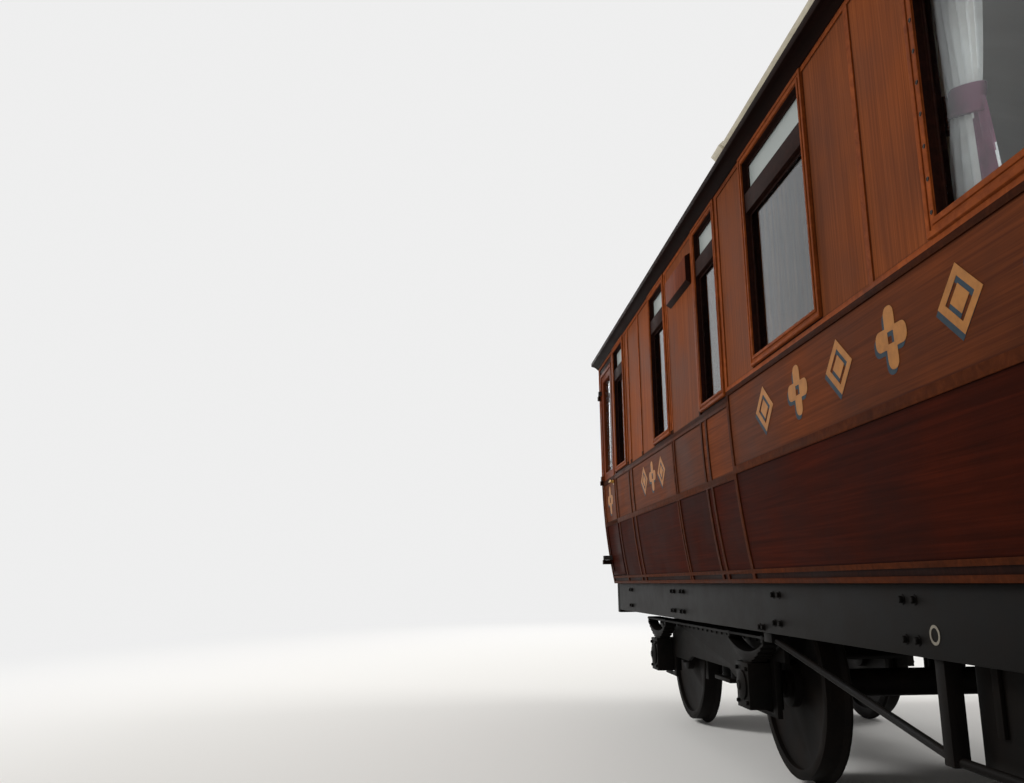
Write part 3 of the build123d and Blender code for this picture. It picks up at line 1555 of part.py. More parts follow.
with BuildPart() as curtain_rods:
    rod_z = BODY_BOTTOM + CURTAIN_TOP + FIT + ROD_RADIUS
    curtained = ((WINDOWS[0], CURTAINS[0]), (WINDOWS[4], CURTAINS[1]))
    for (x, width, sill, trim), (curtain_x, curtain_width, outward) in curtained:
        past_curtain = abs(curtain_x - x) + curtain_width / 2 + ROD_POST
        reach = max(width / 2 + 2 * ROD_POST, past_curtain)
        for centre in both((x,)):
            rod_x(ROD_RADIUS, centre - reach, centre + reach, CURTAIN_Y, rod_z)
            for offset in both((reach - ROD_POST,)):
                rod_y(ROD_POST_RADIUS, centre + offset, rod_z, CURTAIN_Y, INNER_FACE)
    mirror(about=Plane.XZ)
finish(curtain_rods.part, "curtain_rods")
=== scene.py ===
"""Dresses the wooden-bodied bogie coach: finishes, mouldings, fittings and soft furnishings.

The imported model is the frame. Each new piece is modelled at its own place, in metres, with X along
the coach, +Y towards its left side and Z up, and rides on the body that carries it.
"""

import logging
import math
import random
from contextlib import contextmanager
from dataclasses import dataclass
from enum import Enum
from typing import Any, Callable, Iterable, Iterator, Sequence

import bpy
from mathutils import Matrix, Vector


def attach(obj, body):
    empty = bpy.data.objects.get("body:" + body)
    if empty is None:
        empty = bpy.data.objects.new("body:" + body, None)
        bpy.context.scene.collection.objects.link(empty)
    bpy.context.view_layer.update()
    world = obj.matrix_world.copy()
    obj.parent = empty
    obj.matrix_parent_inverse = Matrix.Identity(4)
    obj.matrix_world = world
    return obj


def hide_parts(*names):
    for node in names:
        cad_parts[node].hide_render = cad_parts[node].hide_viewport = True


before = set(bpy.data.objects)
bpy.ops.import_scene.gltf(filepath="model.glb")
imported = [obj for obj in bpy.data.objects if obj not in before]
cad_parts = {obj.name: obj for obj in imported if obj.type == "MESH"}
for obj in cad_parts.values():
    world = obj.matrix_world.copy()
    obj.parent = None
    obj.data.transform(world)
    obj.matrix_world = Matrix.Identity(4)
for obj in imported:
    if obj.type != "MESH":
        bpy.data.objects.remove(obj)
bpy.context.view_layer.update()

LOG = logging.getLogger("coach")
SEED = 1904

Piece = bpy.types.Object
Tree = bpy.types.NodeTree
Socket = bpy.types.NodeSocket
Point = Sequence[float]
Span = tuple[float, float]
Test = Callable[[Any], bool]


def at(x: float, y: float, z: float) -> Matrix:
    """Return the matrix that moves a shape from the origin to this point."""
    return Matrix.Translation((x, y, z))


# Turns for copies: half round, mirrored, their own Z out of the side, their own Z along the coach
HERE = Matrix()
HALF_TURN = Matrix.Rotation(math.pi, 4, "Z")
MIRROR_X = Matrix.Scale(-1, 4, (1, 0, 0))
MIRROR_Y = Matrix.Scale(-1, 4, (0, 1, 0))
FACE_OUT = Matrix.Rotation(-math.pi / 2, 4, "X")
LIE_ALONG = Matrix.Rotation(math.pi / 2, 4, "Y")
TURNED_PAIR = (HERE, HALF_TURN)
MIRRORED_PAIR = (HERE, MIRROR_Y)
FOUR_CORNERS = (HERE, MIRROR_X, MIRROR_Y, HALF_TURN)


@dataclass(frozen=True)
class BodySizes:
    """Sizes of the body that its dressing lines up with."""

    half_length: float = 7.620
    half_width: float = 1.295
    tumble_top: float = 2.185
    tumble_radius: float = 5.7073
    panel_top: float = 3.350
    step_x: float = 3.210
    floor_top: float = 1.283
    wall: float = 0.070

    def side(self, z: float, out: float = 0.0) -> float:
        """Y of the left side at height z, moved outward by out."""
        drop = max(self.tumble_top - z, 0.0)
        radius = self.tumble_radius
        return self.half_width - radius + math.sqrt((radius + out) ** 2 - drop**2)


@dataclass(frozen=True)
class WindowSize:
    """A side window: its middle, opening, sill and the moulding around it."""

    x: float
    width: float
    sill: float
    trim: float


BODY = BodySizes()
HIGH_SILL = 2.255
LOW_SILL = 2.204
WINDOW_HEAD = 3.315
TRANSOM_Z = 3.085
TRANSOM = 0.136
RING = 0.024
MULLION = 0.090
GLASS_Y = 1.271
TRIM_OUT = 0.013
WINDOWS = (
    WindowSize(0.0, 1.900, HIGH_SILL, 0.046),
    WindowSize(2.310, 0.820, HIGH_SILL, 0.036),
    WindowSize(3.495, 0.450, LOW_SILL, 0.032),
    WindowSize(4.830, 0.480, LOW_SILL, 0.032),
    WindowSize(6.480, 0.480, LOW_SILL, 0.032),
)
DOOR_X = 7.210
DOOR_HALF = 0.320
# Each door's body, its side (1 is left) and the x of its hinge
DOORS = (("door_left_b", 1, 7.53), ("door_left_a", 1, -6.89),
         ("door_right_b", -1, 6.89), ("door_right_a", -1, -7.53))


# Shader nodes
def linear(code: str) -> tuple[float, float, float, float]:
    """Turn an sRGB hex colour, such as "#82502f", into linear red, green, blue and alpha 1."""
    parts = [int(code[i : i + 2], 16) / 255 for i in (1, 3, 5)]
    bent = [c / 12.92 if c <= 0.04045 else ((c + 0.055) / 1.055) ** 2.4 for c in parts]
    return (*bent, 1.0)


def add_node(tree: Tree, kind: str, values: dict | None = None) -> bpy.types.NodeOutputs:
    """Add one shader node with its settings and links.

    Args:
        tree: the material's or world's node tree.
        kind: what follows "ShaderNode" in the node's type, such as "TexNoise".
        values: node properties, the "stops" of a ramp, and inputs by name or number, each with its
            value or the socket that feeds it.

    Returns:
        The new node's outputs.
    """
    node = tree.nodes.new("ShaderNode" + kind)
    for key, value in (values or {}).items():
        if key == "stops":
            for element, (place, colour) in zip(node.color_ramp.elements, value):
                element.position, element.color = place, linear(colour)
            for place, colour in value[2:]:
                node.color_ramp.elements.new(place).color = linear(colour)
        elif isinstance(value, Socket):
            tree.links.new(value, node.inputs[key])
        elif isinstance(key, str) and hasattr(node, key):
            setattr(node, key, value)
        else:
            node.inputs[key].default_value = linear(value) if isinstance(value, str) else value
    return node.outputs


def emptied_tree(owner: bpy.types.Material | bpy.types.World) -> Tree:
    """Switch on the nodes of a material or world and return its empty tree."""
    owner.use_nodes = True
    owner.node_tree.nodes.clear()
    return owner.node_tree


class Grain(Enum):
    """The way that a board's grain runs."""

    ALONG = 0
    UPRIGHT = 2
    SHORT = -1

    def scale(self, length: float, width: float) -> tuple[float, ...]:
        """Pattern scale along X, Y and Z from the figure's length and width in metres."""
        return tuple(1 / (length if axis == self.value else width) for axis in range(3))


@dataclass(frozen=True)
class Finish:
    """A surface finish, made once as a node material under its own name."""

    name: str

    def dress(self, tree: Tree, place: Socket) -> dict[str, Any]:
        """Make this finish's pattern.

        Args:
            tree: the material's node tree.
            place: the piece's own coordinates in metres.

        Returns:
            The shader's inputs by name, each with its value or the socket that feeds it.
        """
        raise NotImplementedError

    def material(self) -> bpy.types.Material:
        """Return the finish's material, made the first time it is asked for."""
        made = bpy.data.materials.get(self.name)
        if not made:
            made = bpy.data.materials.new(self.name)
            tree = emptied_tree(made)
            inputs = self.dress(tree, add_node(tree, "TexCoord")["Object"])
            shader = add_node(tree, "BsdfPrincipled", inputs)
            add_node(tree, "OutputMaterial", {"Surface": shader[0]})
        return made


@dataclass(frozen=True)
class VarnishedWood(Finish):
    """Sawn and varnished boards: figure along the grain, fine pores, a worn varnish."""

    light: str
    middle: str
    dark: str
    grain: Grain
    figure_mm: float = 16.0
    length_mm: float = 620.0
    roughness: float = 0.55
    gloss: float = 0.025
    # Toned boards get a random tone for each panel, and painted shade with grime along each panel's
    # edge
    toned: bool = False

    def dress(self, tree: Tree, place: Socket) -> dict[str, Any]:
        """Stretch noise along the grain for the figure and the pores."""
        shaded_border = 1.0
        if self.toned:
            tone, edge = (add_node(tree, "Attribute", {"attribute_name": name})["Fac"]
                          for name in ("tone", "edge"))
            shift = add_node(tree, "VectorMath",
                             {"operation": "SCALE", 0: (31, 17, 23), "Scale": tone})[0]
            place = add_node(tree, "VectorMath", {"operation": "ADD", 0: place, 1: shift})[0]
            lift = add_node(tree, "MapRange", {"To Min": 0.86, "To Max": 1.12, "Value": tone})[0]
            # Darker towards the panel's edge by the edge attribute: painted shade at the foot of the
            # mouldings, with grime
            edge_shade_and_grime = add_node(tree, "MapRange", {"To Min": 1.0, "To Max": 0.22, "Value": edge})[0]
            shaded_border = add_node(tree, "Math", {"operation": "MULTIPLY", 0: lift, 1: edge_shade_and_grime})[0]
        # Real pores are 0.3 mm wide; they are drawn 2.5 mm wide so that they show
        figure_place, pore_place = (
            add_node(tree, "Mapping", {"Scale": self.grain.scale(*size), "Vector": place})[0]
            for size in ((self.length_mm / 1000, self.figure_mm / 1000), (0.07, 0.0025)))
        figure = add_node(tree, "TexNoise", {
            "Scale": 1.0, "Detail": 6.0, "Roughness": 0.58, "Distortion": 0.7,
            "Vector": figure_place})["Fac"]
        colour = add_node(tree, "ValToRGB", {
            "stops": ((0.22, self.dark), (0.50, self.middle), (0.80, self.light)),
            "Fac": figure})[0]
        cloud = add_node(tree, "TexNoise", {"Scale": 1.9, "Detail": 3.0, "Vector": place})["Fac"]
        shade, polish = (
            add_node(tree, "MapRange", {"From Min": 0.3, "From Max": 0.7, "To Min": low,
                                        "To Max": high, "Value": cloud})[0]
            for low, high in ((0.66, 1.26), (self.roughness - 0.08, self.roughness + 0.10)))
        toned_and_edge_shaded = add_node(tree, "Math", {"operation": "MULTIPLY", 0: shade, 1: shaded_border})[0]
        pores = add_node(tree, "TexNoise", {
            "Scale": 1.0, "Detail": 3.0, "Vector": pore_place})["Fac"]
        return {
            "Base Color": add_node(tree, "VectorMath",
                                   {"operation": "SCALE", 0: colour, "Scale": toned_and_edge_shaded})[0],
            "Normal": add_node(tree, "Bump",
                               {"Strength": 0.12, "Distance": 0.0006, "Height": pores})[0],
            "Roughness": polish, "IOR": 1.45, "Specular IOR Level": self.gloss}


@dataclass(frozen=True)
class PaintedMetal(Finish):
    """Brushed-on paint over castings and rolled steel, with dust that settles on top faces."""

    paint: str
    dust: str
    roughness: float = 0.50
    lumps_mm: float = 9.0
    dust_share: float = 0.45
    gloss: float = 0.03

    def dress(self, tree: Tree, place: Socket) -> dict[str, Any]:
        """Mix dust into the paint by slope and noise, and raise casting lumps."""
        patches = add_node(tree, "TexNoise", {
            "Scale": 5.0, "Detail": 6.0, "Roughness": 0.7, "Vector": place})["Fac"]
        slope = add_node(tree, "SeparateXYZ", {0: add_node(tree, "NewGeometry")["Normal"]})["Z"]
        top = add_node(tree, "MapRange", {
            "From Min": -0.6, "From Max": 1.0, "To Min": 0.25, "To Max": 1.0, "Value": slope})[0]
        patch = add_node(tree, "MapRange", {
            "From Min": 0.40, "From Max": 0.72, "To Max": self.dust_share, "Value": patches})[0]
        share = add_node(tree, "Math", {"operation": "MULTIPLY", 0: top, 1: patch})[0]
        lumps = add_node(tree, "TexNoise", {
            "Scale": 1000 / self.lumps_mm, "Detail": 2.0, "Vector": place})["Fac"]
        return {
            "Base Color": add_node(tree, "Mix", {
                "data_type": "RGBA", 0: share, 6: self.paint, 7: self.dust})[2],
            "Roughness": add_node(tree, "MapRange", {
                "To Min": self.roughness, "To Max": min(self.roughness + 0.3, 1.0),
                "Value": share})[0],
            "Normal": add_node(tree, "Bump",
                               {"Strength": 0.15, "Distance": 0.0008, "Height": lumps})[0],
            "IOR": 1.5, "Specular IOR Level": self.gloss}


@dataclass(frozen=True)
class WornMetal(Finish):
    """Bare metal: bright where it is rubbed, tarnished elsewhere."""

    bright: str
    tarnish: str
    roughness: float = 0.30

    def dress(self, tree: Tree, place: Socket) -> dict[str, Any]:
        """Mix bright and tarnished metal by noise."""
        patches = add_node(tree, "TexNoise", {
            "Scale": 14.0, "Detail": 6.0, "Roughness": 0.65, "Vector": place})["Fac"]
        return {
            "Base Color": add_node(tree, "ValToRGB", {
                "stops": ((0.35, self.tarnish), (0.62, self.bright)), "Fac": patches})[0],
            "Roughness": add_node(tree, "MapRange", {
                "From Min": 0.35, "From Max": 0.65, "To Min": self.roughness + 0.22,
                "To Max": self.roughness, "Value": patches})[0],
            "Metallic": 1.0}


@dataclass(frozen=True)
class PaintedCanvas(Finish):
    """Canvas laid on boards and painted: a coarse weave, soft stains along the slope."""

    paint: str
    stain: str
    weave_mm: float = 6.0

    def dress(self, tree: Tree, place: Socket) -> dict[str, Any]:
        """Cross two waves for the weave and streak the stains down the roof."""
        streak_place = add_node(tree, "Mapping", {"Scale": (4.0, 0.5, 0.5), "Vector": place})[0]
        streaks = add_node(tree, "TexNoise", {
            "Scale": 1.0, "Detail": 6.0, "Vector": streak_place})["Fac"]
        # The real weave is 1 mm; it is drawn 6 mm wide so that it shows
        warp, weft = (add_node(tree, "TexWave", {
            "bands_direction": way, "Scale": 1000 / self.weave_mm / math.tau,
            "Vector": place})["Fac"] for way in ("X", "Y"))
        weave = add_node(tree, "Math", {"operation": "ADD", 0: warp, 1: weft})[0]
        return {
            "Base Color": add_node(tree, "ValToRGB", {
                "stops": ((0.25, self.stain), (0.65, self.paint)), "Fac": streaks})[0],
            "Normal": add_node(tree, "Bump",
                               {"Strength": 0.10, "Distance": 0.0006, "Height": weave})[0],
            "Roughness": 0.72}


@dataclass(frozen=True)
class Glazing(Finish):
    """Window glass, clear or etched on its inner face."""

    tint: str
    roughness: float
    clear: float = 1.0
    index: float = 1.25

    def dress(self, tree: Tree, place: Socket) -> dict[str, Any]:
        """Vary the gloss a little, as cleaned glass does."""
        film = add_node(tree, "TexNoise", {"Scale": 3.0, "Detail": 3.0, "Vector": place})["Fac"]
        return {
            "Roughness": add_node(tree, "MapRange", {
                "From Min": 0.4, "From Max": 0.8, "To Min": self.roughness,
                "To Max": self.roughness + 0.03, "Value": film})[0],
            "Base Color": self.tint, "Transmission Weight": self.clear, "IOR": self.index}


@dataclass(frozen=True)
class Cloth(Finish):
    """Woven cloth: two colours of thread, sheen and a thread-wide bump."""

    thread: str
    shade: str
    thread_mm: float = 2.0
    sheen: float = 0.3
    roughness: float = 0.85
    pile: bool = False

    def dress(self, tree: Tree, place: Socket) -> dict[str, Any]:
        """Cross two waves for warp and weft, or raise noise for a pile."""
        soft = add_node(tree, "TexNoise", {"Scale": 9.0, "Detail": 3.0, "Vector": place})["Fac"]
        turns = 1000 / self.thread_mm / math.tau
        if self.pile:
            height = add_node(tree, "TexNoise", {
                "Scale": turns * 3, "Detail": 2.0, "Vector": place})["Fac"]
        else:
            warp, weft = (add_node(tree, "TexWave", {
                "bands_direction": way, "Scale": turns, "Vector": place})["Fac"]
                for way in ("X", "Z"))
            height = add_node(tree, "Math", {"operation": "ADD", 0: warp, 1: weft})[0]
        return {
            "Base Color": add_node(tree, "ValToRGB", {
                "stops": ((0.35, self.shade), (0.65, self.thread)), "Fac": soft})[0],
            "Normal": add_node(tree, "Bump",
                               {"Strength": 0.2, "Distance": 0.0008, "Height": height})[0],
            "Roughness": self.roughness, "Sheen Weight": self.sheen, "Sheen Roughness": 0.5}


@dataclass(frozen=True)
class Coated(Finish):
    """A paint, rubber or lacquer of one colour, with faint wear."""

    colour: str
    worn: str
    roughness: float = 0.55
    patch_mm: float = 90.0
    gloss: float = 0.10

    def dress(self, tree: Tree, place: Socket) -> dict[str, Any]:
        """Mix in the worn colour by noise."""
        patches = add_node(tree, "TexNoise", {
            "Scale": 1000 / self.patch_mm, "Detail": 5.0, "Roughness": 0.6,
            "Vector": place})["Fac"]
        return {
            "Base Color": add_node(tree, "ValToRGB", {
                "stops": ((0.40, self.colour), (0.80, self.worn)), "Fac": patches})[0],
            "Normal": add_node(tree, "Bump",
                               {"Strength": 0.1, "Distance": 0.001, "Height": patches})[0],
            "Roughness": self.roughness, "Specular IOR Level": self.gloss}


# Quarter-sawn teak under old varnish: reddish brown above the waist, darker on the waist panels, and
# nearly black-brown below them, with the shade on the lower side painted in
TEAK_UPPER = VarnishedWood("varnished_teak_upright", "#7d421f", "#683415", "#51260e",
                           Grain.UPRIGHT, 11.0, 900.0, toned=True)
TEAK_WAIST = VarnishedWood("varnished_teak_waist", "#643115", "#52270f", "#3f1b0a",
                           Grain.ALONG, 14.0, 700.0, toned=True)
TEAK_LOWER = VarnishedWood("varnished_teak_lower_painted_shade", "#3f1509", "#300f06", "#220a04",
                           Grain.ALONG, 16.0, 800.0, gloss=0.01, toned=True)
# The carcase shows only in gaps and jambs, and is nearly black to paint in the shade there
TEAK_CARCASE = VarnishedWood("teak_carcase_painted_shade", "#2a130c", "#1e0d08", "#130805",
                             Grain.UPRIGHT)
TEAK_END = VarnishedWood("varnished_teak_end", "#6b381e", "#532813", "#3a190c",
                         Grain.UPRIGHT, 14.0, 900.0)
# Teak beads below the waist, darker than the frames and beads above it: shaded and lit copies of one
# finish, with the shade on the lower side painted in
TEAK_BEAD = VarnishedWood("varnished_teak_bead_painted_shade", "#4c2411", "#3d1c0c", "#2e1508",
                          Grain.SHORT, 45.0, 45.0, gloss=0.015)
TEAK_FRAME = VarnishedWood("varnished_teak_frame", "#84421b", "#6f3515", "#5a290f",
                           Grain.SHORT, 45.0, 45.0)
# The waist rail and the sashes, darker to paint in the shade under the sills and inside the window
# openings
TEAK_RAIL = VarnishedWood("teak_rail_painted_shade", "#3a1b0b", "#2d1408", "#200d05",
                          Grain.SHORT, 45.0, 45.0, gloss=0.01)
TEAK_SASH = VarnishedWood("teak_sash_painted_shade", "#2b140d", "#1f0e09", "#140906",
                          Grain.SHORT, 30.0, 30.0, gloss=0.03)
TEAK_DOOR = VarnishedWood("varnished_teak_door", "#73391c", "#5a2813", "#40190b",
                          Grain.UPRIGHT, 12.0, 900.0)
# Painted softwood cornice, dark brown paint, half matt, darkened to brown-black to paint in the
# shade beneath the roof's edge
CORNICE_BROWN = VarnishedWood("painted_cornice_brown", "#231310", "#190d0a", "#100806",
                              Grain.ALONG, 30.0, 900.0, gloss=0.01)
INNER_OAK = VarnishedWood("varnished_oak_inside", "#8d5d31", "#6f4422", "#4f2f16", Grain.UPRIGHT)
# Off-white lead paint on stretched canvas
ROOF_CANVAS = PaintedCanvas("painted_roof_canvas", "#cdc6b5", "#b6af9c")
VENT_PAINT = Coated("painted_vent_metal", "#c6bfae", "#a49b87", 0.5, 60.0)
# Black gloss on frames, gone satin and dusty brown
BLACK_IRON = PaintedMetal("black_painted_iron", "#0d0c0b", "#231b16")
WHEEL_IRON = PaintedMetal("black_painted_wheel", "#0e0c0b", "#2a2019", roughness=0.55)
LAMP_BLACK = Coated("black_lacquered_tin", "#100d0c", "#2c231e", 0.35)
BUFFER_STEEL = WornMetal("greased_buffer_steel", "#4d4843", "#35302c", 0.40)
BRASS = WornMetal("polished_brass", "#c2954a", "#84602a", 0.22)
# Old plate glass: thinner in gloss than new glass, with a cold cast
CLEAR_GLASS = Glazing("clear_plate_glass", "#f2f9fd", 0.0)
ETCHED_GLASS = Glazing("etched_top_light_glass", "#a9b0ad", 0.30, 0.35)
RUBBER_CLOTH = Coated("rubbered_canvas_bellows", "#151312", "#2c2825", 0.7)
FLOOR_CLOTH = Coated("brown_linoleum", "#3f2d20", "#4f3a2b", 0.45)
# Gold leaf on size, slightly rubbed, with its painted shade
GOLD_LEAF = Coated("gold_leaf", "#96622b", "#7d4f20", 0.5, 40.0)
SHADE_PAINT = Coated("blue_grey_shade_paint", "#22313b", "#1b272f", 0.6, 40.0)
PALE_PAINT = Coated("pale_spring_mark_paint", "#7d776b", "#5c564e", 0.6, 30.0)
IVORY = Coated("ivory_enamel", "#d9cdb2", "#b7a988", 0.35, 60.0)
MOQUETTE = Cloth("crimson_moquette", "#6d2328", "#4a151a", 3.0, 0.5, pile=True)
CURTAIN_CLOTH = Cloth("cream_cotton_curtain", "#f1ece4", "#ddd6cd", 2.5, 0.1)
MAUVE_CLOTH = Cloth("mauve_curtain_tie", "#7c3f55", "#5c2c3e", 2.5, 0.2)
SHADE_CLOTH = Cloth("cream_lampshade_silk", "#efe2c4", "#dccba6", 2.0, 0.2)


# Modelling by hand: every operator acts on its own piece alone
def pick(*pieces: Piece) -> None:
    """Select these pieces alone, the first of them active."""
    bpy.ops.object.select_all(action="DESELECT")
    for piece in pieces:
        piece.select_set(True)
    bpy.context.view_layer.objects.active = pieces[0]


@contextmanager
def editing(piece: Piece, mode: str = "FACE", test: Test | None = None) -> Iterator[None]:
    """Open a piece for editing with all of it selected, or only what passes a test.

    Args:
        piece: the mesh object.
        mode: what is selected, "VERT", "EDGE" or "FACE".
        test: takes a vertex, an edge's middle or a face, and says whether it is selected.
    """
    mesh = piece.data
    kinds = {"VERT": mesh.vertices, "EDGE": mesh.edges, "FACE": mesh.polygons}
    if test:
        for kind in kinds.values():
            kind.foreach_set("select", [False] * len(kind))
        found = kinds[mode]
        if mode == "EDGE":
            points = [v.co for v in mesh.vertices]
            found = [(points[e.vertices[0]] + points[e.vertices[1]]) / 2 for e in mesh.edges]
        kinds[mode].foreach_set("select", [test(one) for one in found])
    pick(piece)
    bpy.context.tool_settings.mesh_select_mode = tuple(kind == mode for kind in kinds)
    bpy.ops.object.mode_set(mode="EDIT")
    if not test:
        bpy.ops.mesh.select_all(action="SELECT")
    yield
    bpy.ops.object.mode_set(mode="OBJECT")


def face_outwards() -> None:
    """Turn all faces of the shape that is being edited outwards."""
    bpy.ops.mesh.select_all(action="SELECT")
    bpy.ops.mesh.normals_make_consistent(inside=False)


def settled(name: str, scale: Point = (1, 1, 1)) -> Piece:
    """Name and scale the primitive that was just added, and put its place into its mesh."""
    piece = bpy.context.object
    piece.name, piece.scale = name, scale
    pick(piece)
    bpy.ops.object.transform_apply(location=True, rotation=True, scale=True)
    return piece


def block(name: str, low: Point, high: Point, bevel: float = 0.0, segments: int = 2) -> Piece:
    """Model a box between two corners, with its edges eased.

    Args:
        name: the piece's name.
        low: its lowest corner.
        high: its highest corner.
        bevel: width of the eased edges.
        segments: steps across an eased edge.

    Returns:
        The piece, its place in its mesh.
    """
    bpy.ops.mesh.primitive_cube_add(size=1, location=(Vector(low) + Vector(high)) / 2)
    piece = settled(name, Vector(high) - Vector(low))
    if bevel:
        with editing(piece, "EDGE"):
            bpy.ops.mesh.bevel(offset=bevel, segments=segments, affect="EDGES")
    return piece


def plate(name: str, low: Point, high: Point) -> Piece:
    """Model a flat plane between two corners that share one coordinate."""
    size = Vector(high) - Vector(low)
    turn, scale = min(
        (abs(size.x), (0, math.pi / 2, 0), (size.z, size.y, 1)),
        (abs(size.y), (-math.pi / 2, 0, 0), (size.x, size.z, 1)),
        (abs(size.z), (0, 0, 0), (size.x, size.y, 1)), key=lambda row: row[0])[1:]
    bpy.ops.mesh.primitive_plane_add(size=1, location=(Vector(low) + Vector(high)) / 2,
                                     rotation=turn)
    return settled(name, scale)


def turned(name: str, stations: Sequence[Span], sides: int = 24) -> Piece:
    """Model a turned shape along Z, closed at both ends.

    Args:
        name: the piece's name.
        stations: (distance along Z, radius) from one end to the other.
        sides: faces round it.

    Returns:
        The piece.
    """
    (start, radius), *rest = stations
    bpy.ops.mesh.primitive_circle_add(vertices=sides, radius=radius, fill_type="NGON",
                                      location=(0, 0, start))
    piece = settled(name)
    with editing(piece):
        for along, wide in rest:
            bpy.ops.mesh.extrude_region_move(
                TRANSFORM_OT_translate={"value": (0, 0, along - start)})
            share = wide / radius
            bpy.ops.transform.resize(value=(share, share, 1), center_override=(0, 0, along))
            start, radius = along, wide
        face_outwards()
    return piece


def moved(piece: Piece, place: Matrix) -> Piece:
    """Move a piece's mesh by a matrix, and keep its faces outwards."""
    piece.data.transform(place)
    if place.determinant() < 0:
        piece.data.flip_normals()
    return piece


def twin_of(model: Piece, name: str, place: Matrix = HERE) -> Piece:
    """Copy a piece with a mesh of its own, and move the copy by a matrix."""
    twin = model.copy()
    twin.data = model.data.copy()
    twin.name = name
    bpy.context.scene.collection.objects.link(twin)
    return moved(twin, place)


def joined(name: str, pieces: Sequence[Piece]) -> Piece:
    """Join pieces into one."""
    pick(*pieces)
    if len(pieces) > 1:
        bpy.ops.object.join()
    pieces[0].name = name
    return pieces[0]


def repeated(name: str, model: Piece, places: Iterable[Matrix]) -> Piece:
    """Copy a model to every place and join the copies; the model is used up."""
    copies = [twin_of(model, name, place) for place in places]
    bpy.data.objects.remove(model)
    return joined(name, copies)


def modified(piece: Piece, kind: str, **settings: Any) -> Piece:
    """Apply one modifier to a piece.

    Args:
        piece: the mesh object.
        kind: the modifier's type, such as "BEVEL".
        settings: its properties.

    Returns:
        The same piece.
    """
    modifier = piece.modifiers.new(kind.lower(), kind)
    for key, value in settings.items():
        setattr(modifier, key, value)
    pick(piece)
    bpy.ops.object.modifier_apply(modifier=modifier.name)
    return piece


def smooth(piece: Piece, degrees: float = 32.0) -> Piece:
    """Shade a piece smooth, with its edges sharp past an angle."""
    pick(piece)
    bpy.ops.object.shade_smooth_by_angle(angle=math.radians(degrees))
    return piece


def finished(piece: Piece, finish: Finish, body: str = "body",
             nodes: Sequence[str] = ()) -> Piece:
    """Give a piece its finish, its body and the CAD nodes that it stands for.

    Args:
        piece: the modelled piece.
        finish: its surface.
        body: the body that it rides on.
        nodes: CAD nodes that it replaces.

    Returns:
        The same piece.
    """
    piece.data.materials.clear()
    piece.data.materials.append(finish.material())
    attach(piece, body)
    if nodes:
        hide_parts(*nodes)
    LOG.info("%s: %d faces on %s", piece.name, len(piece.data.polygons), body)
    return piece


def partly(piece: Piece, finish: Finish, test: Test) -> None:
    """Give the faces of a finished piece that pass a test a second finish."""
    piece.data.materials.append(finish.material())
    slot = len(piece.data.materials) - 1
    for face in piece.data.polygons:
        if test(face):
            face.material_index = slot


def eased_copy(node: str, name: str, bevel: float, segments: int = 2) -> Piece:
    """Copy a CAD node, merge its loose triangles and ease its edges.

    Args:
        node: the CAD node's name.
        name: the new piece's name.
        bevel: width of the eased edges.
        segments: steps across an eased edge.

    Returns:
        The new piece, which still has to be finished.
    """
    piece = twin_of(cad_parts[node], name)
    piece.parent = None
    for key in list(piece.keys()):
        del piece[key]
    with editing(piece, "VERT"):
        bpy.ops.mesh.remove_doubles(threshold=0.00002)
        bpy.ops.mesh.customdata_custom_splitnormals_clear()
        bpy.ops.mesh.dissolve_limited(angle_limit=math.radians(0.4))
    if bevel:
        modified(piece, "BEVEL", width=bevel, segments=segments, limit_method="ANGLE",
                 angle_limit=math.radians(30.0), use_clamp_overlap=True)
    return smooth(piece)


def stand_in(node: str, name: str, bevel: float, finish: Finish, body: str = "body",
             segments: int = 2, cuts: Iterable[float] = ()) -> Piece:
    """Replace a CAD node by an eased copy of it.

    Args:
        node: the CAD node's name.
        name: the new piece's name.
        bevel: width of the eased edges.
        finish: its surface.
        body: the body that it rides on.
        segments: steps across an eased edge.
        cuts: heights at which its faces are cut, so that a second finish can start there.

    Returns:
        The finished piece.
    """
    piece = eased_copy(node, name, bevel, segments)
    for level in cuts:
        with editing(piece):
            bpy.ops.mesh.bisect(plane_co=(0, 0, level), plane_no=(0, 0, 1))
    return finished(piece, finish, body, (node,))


def set_out(name: str, model: Piece, places: Iterable[Matrix], finish: Finish,
            body: str = "body", nodes: Sequence[str] = (), degrees: float = 32.0) -> Piece:
    """Copy a model to its places, and finish the joined copies.

    Args:
        name: the piece's name.
        model: the shape that is modelled once; it is used up.
        places: a matrix for each copy.
        finish: the surface.
        body: the body that the piece rides on.
        nodes: CAD nodes that it replaces.
        degrees: edges are sharp past this angle; at 0 all faces stay flat.

    Returns:
        The finished piece.
    """
    piece = repeated(name, model, places)
    if degrees:
        smooth(piece, degrees)
    return finished(piece, finish, body, nodes)


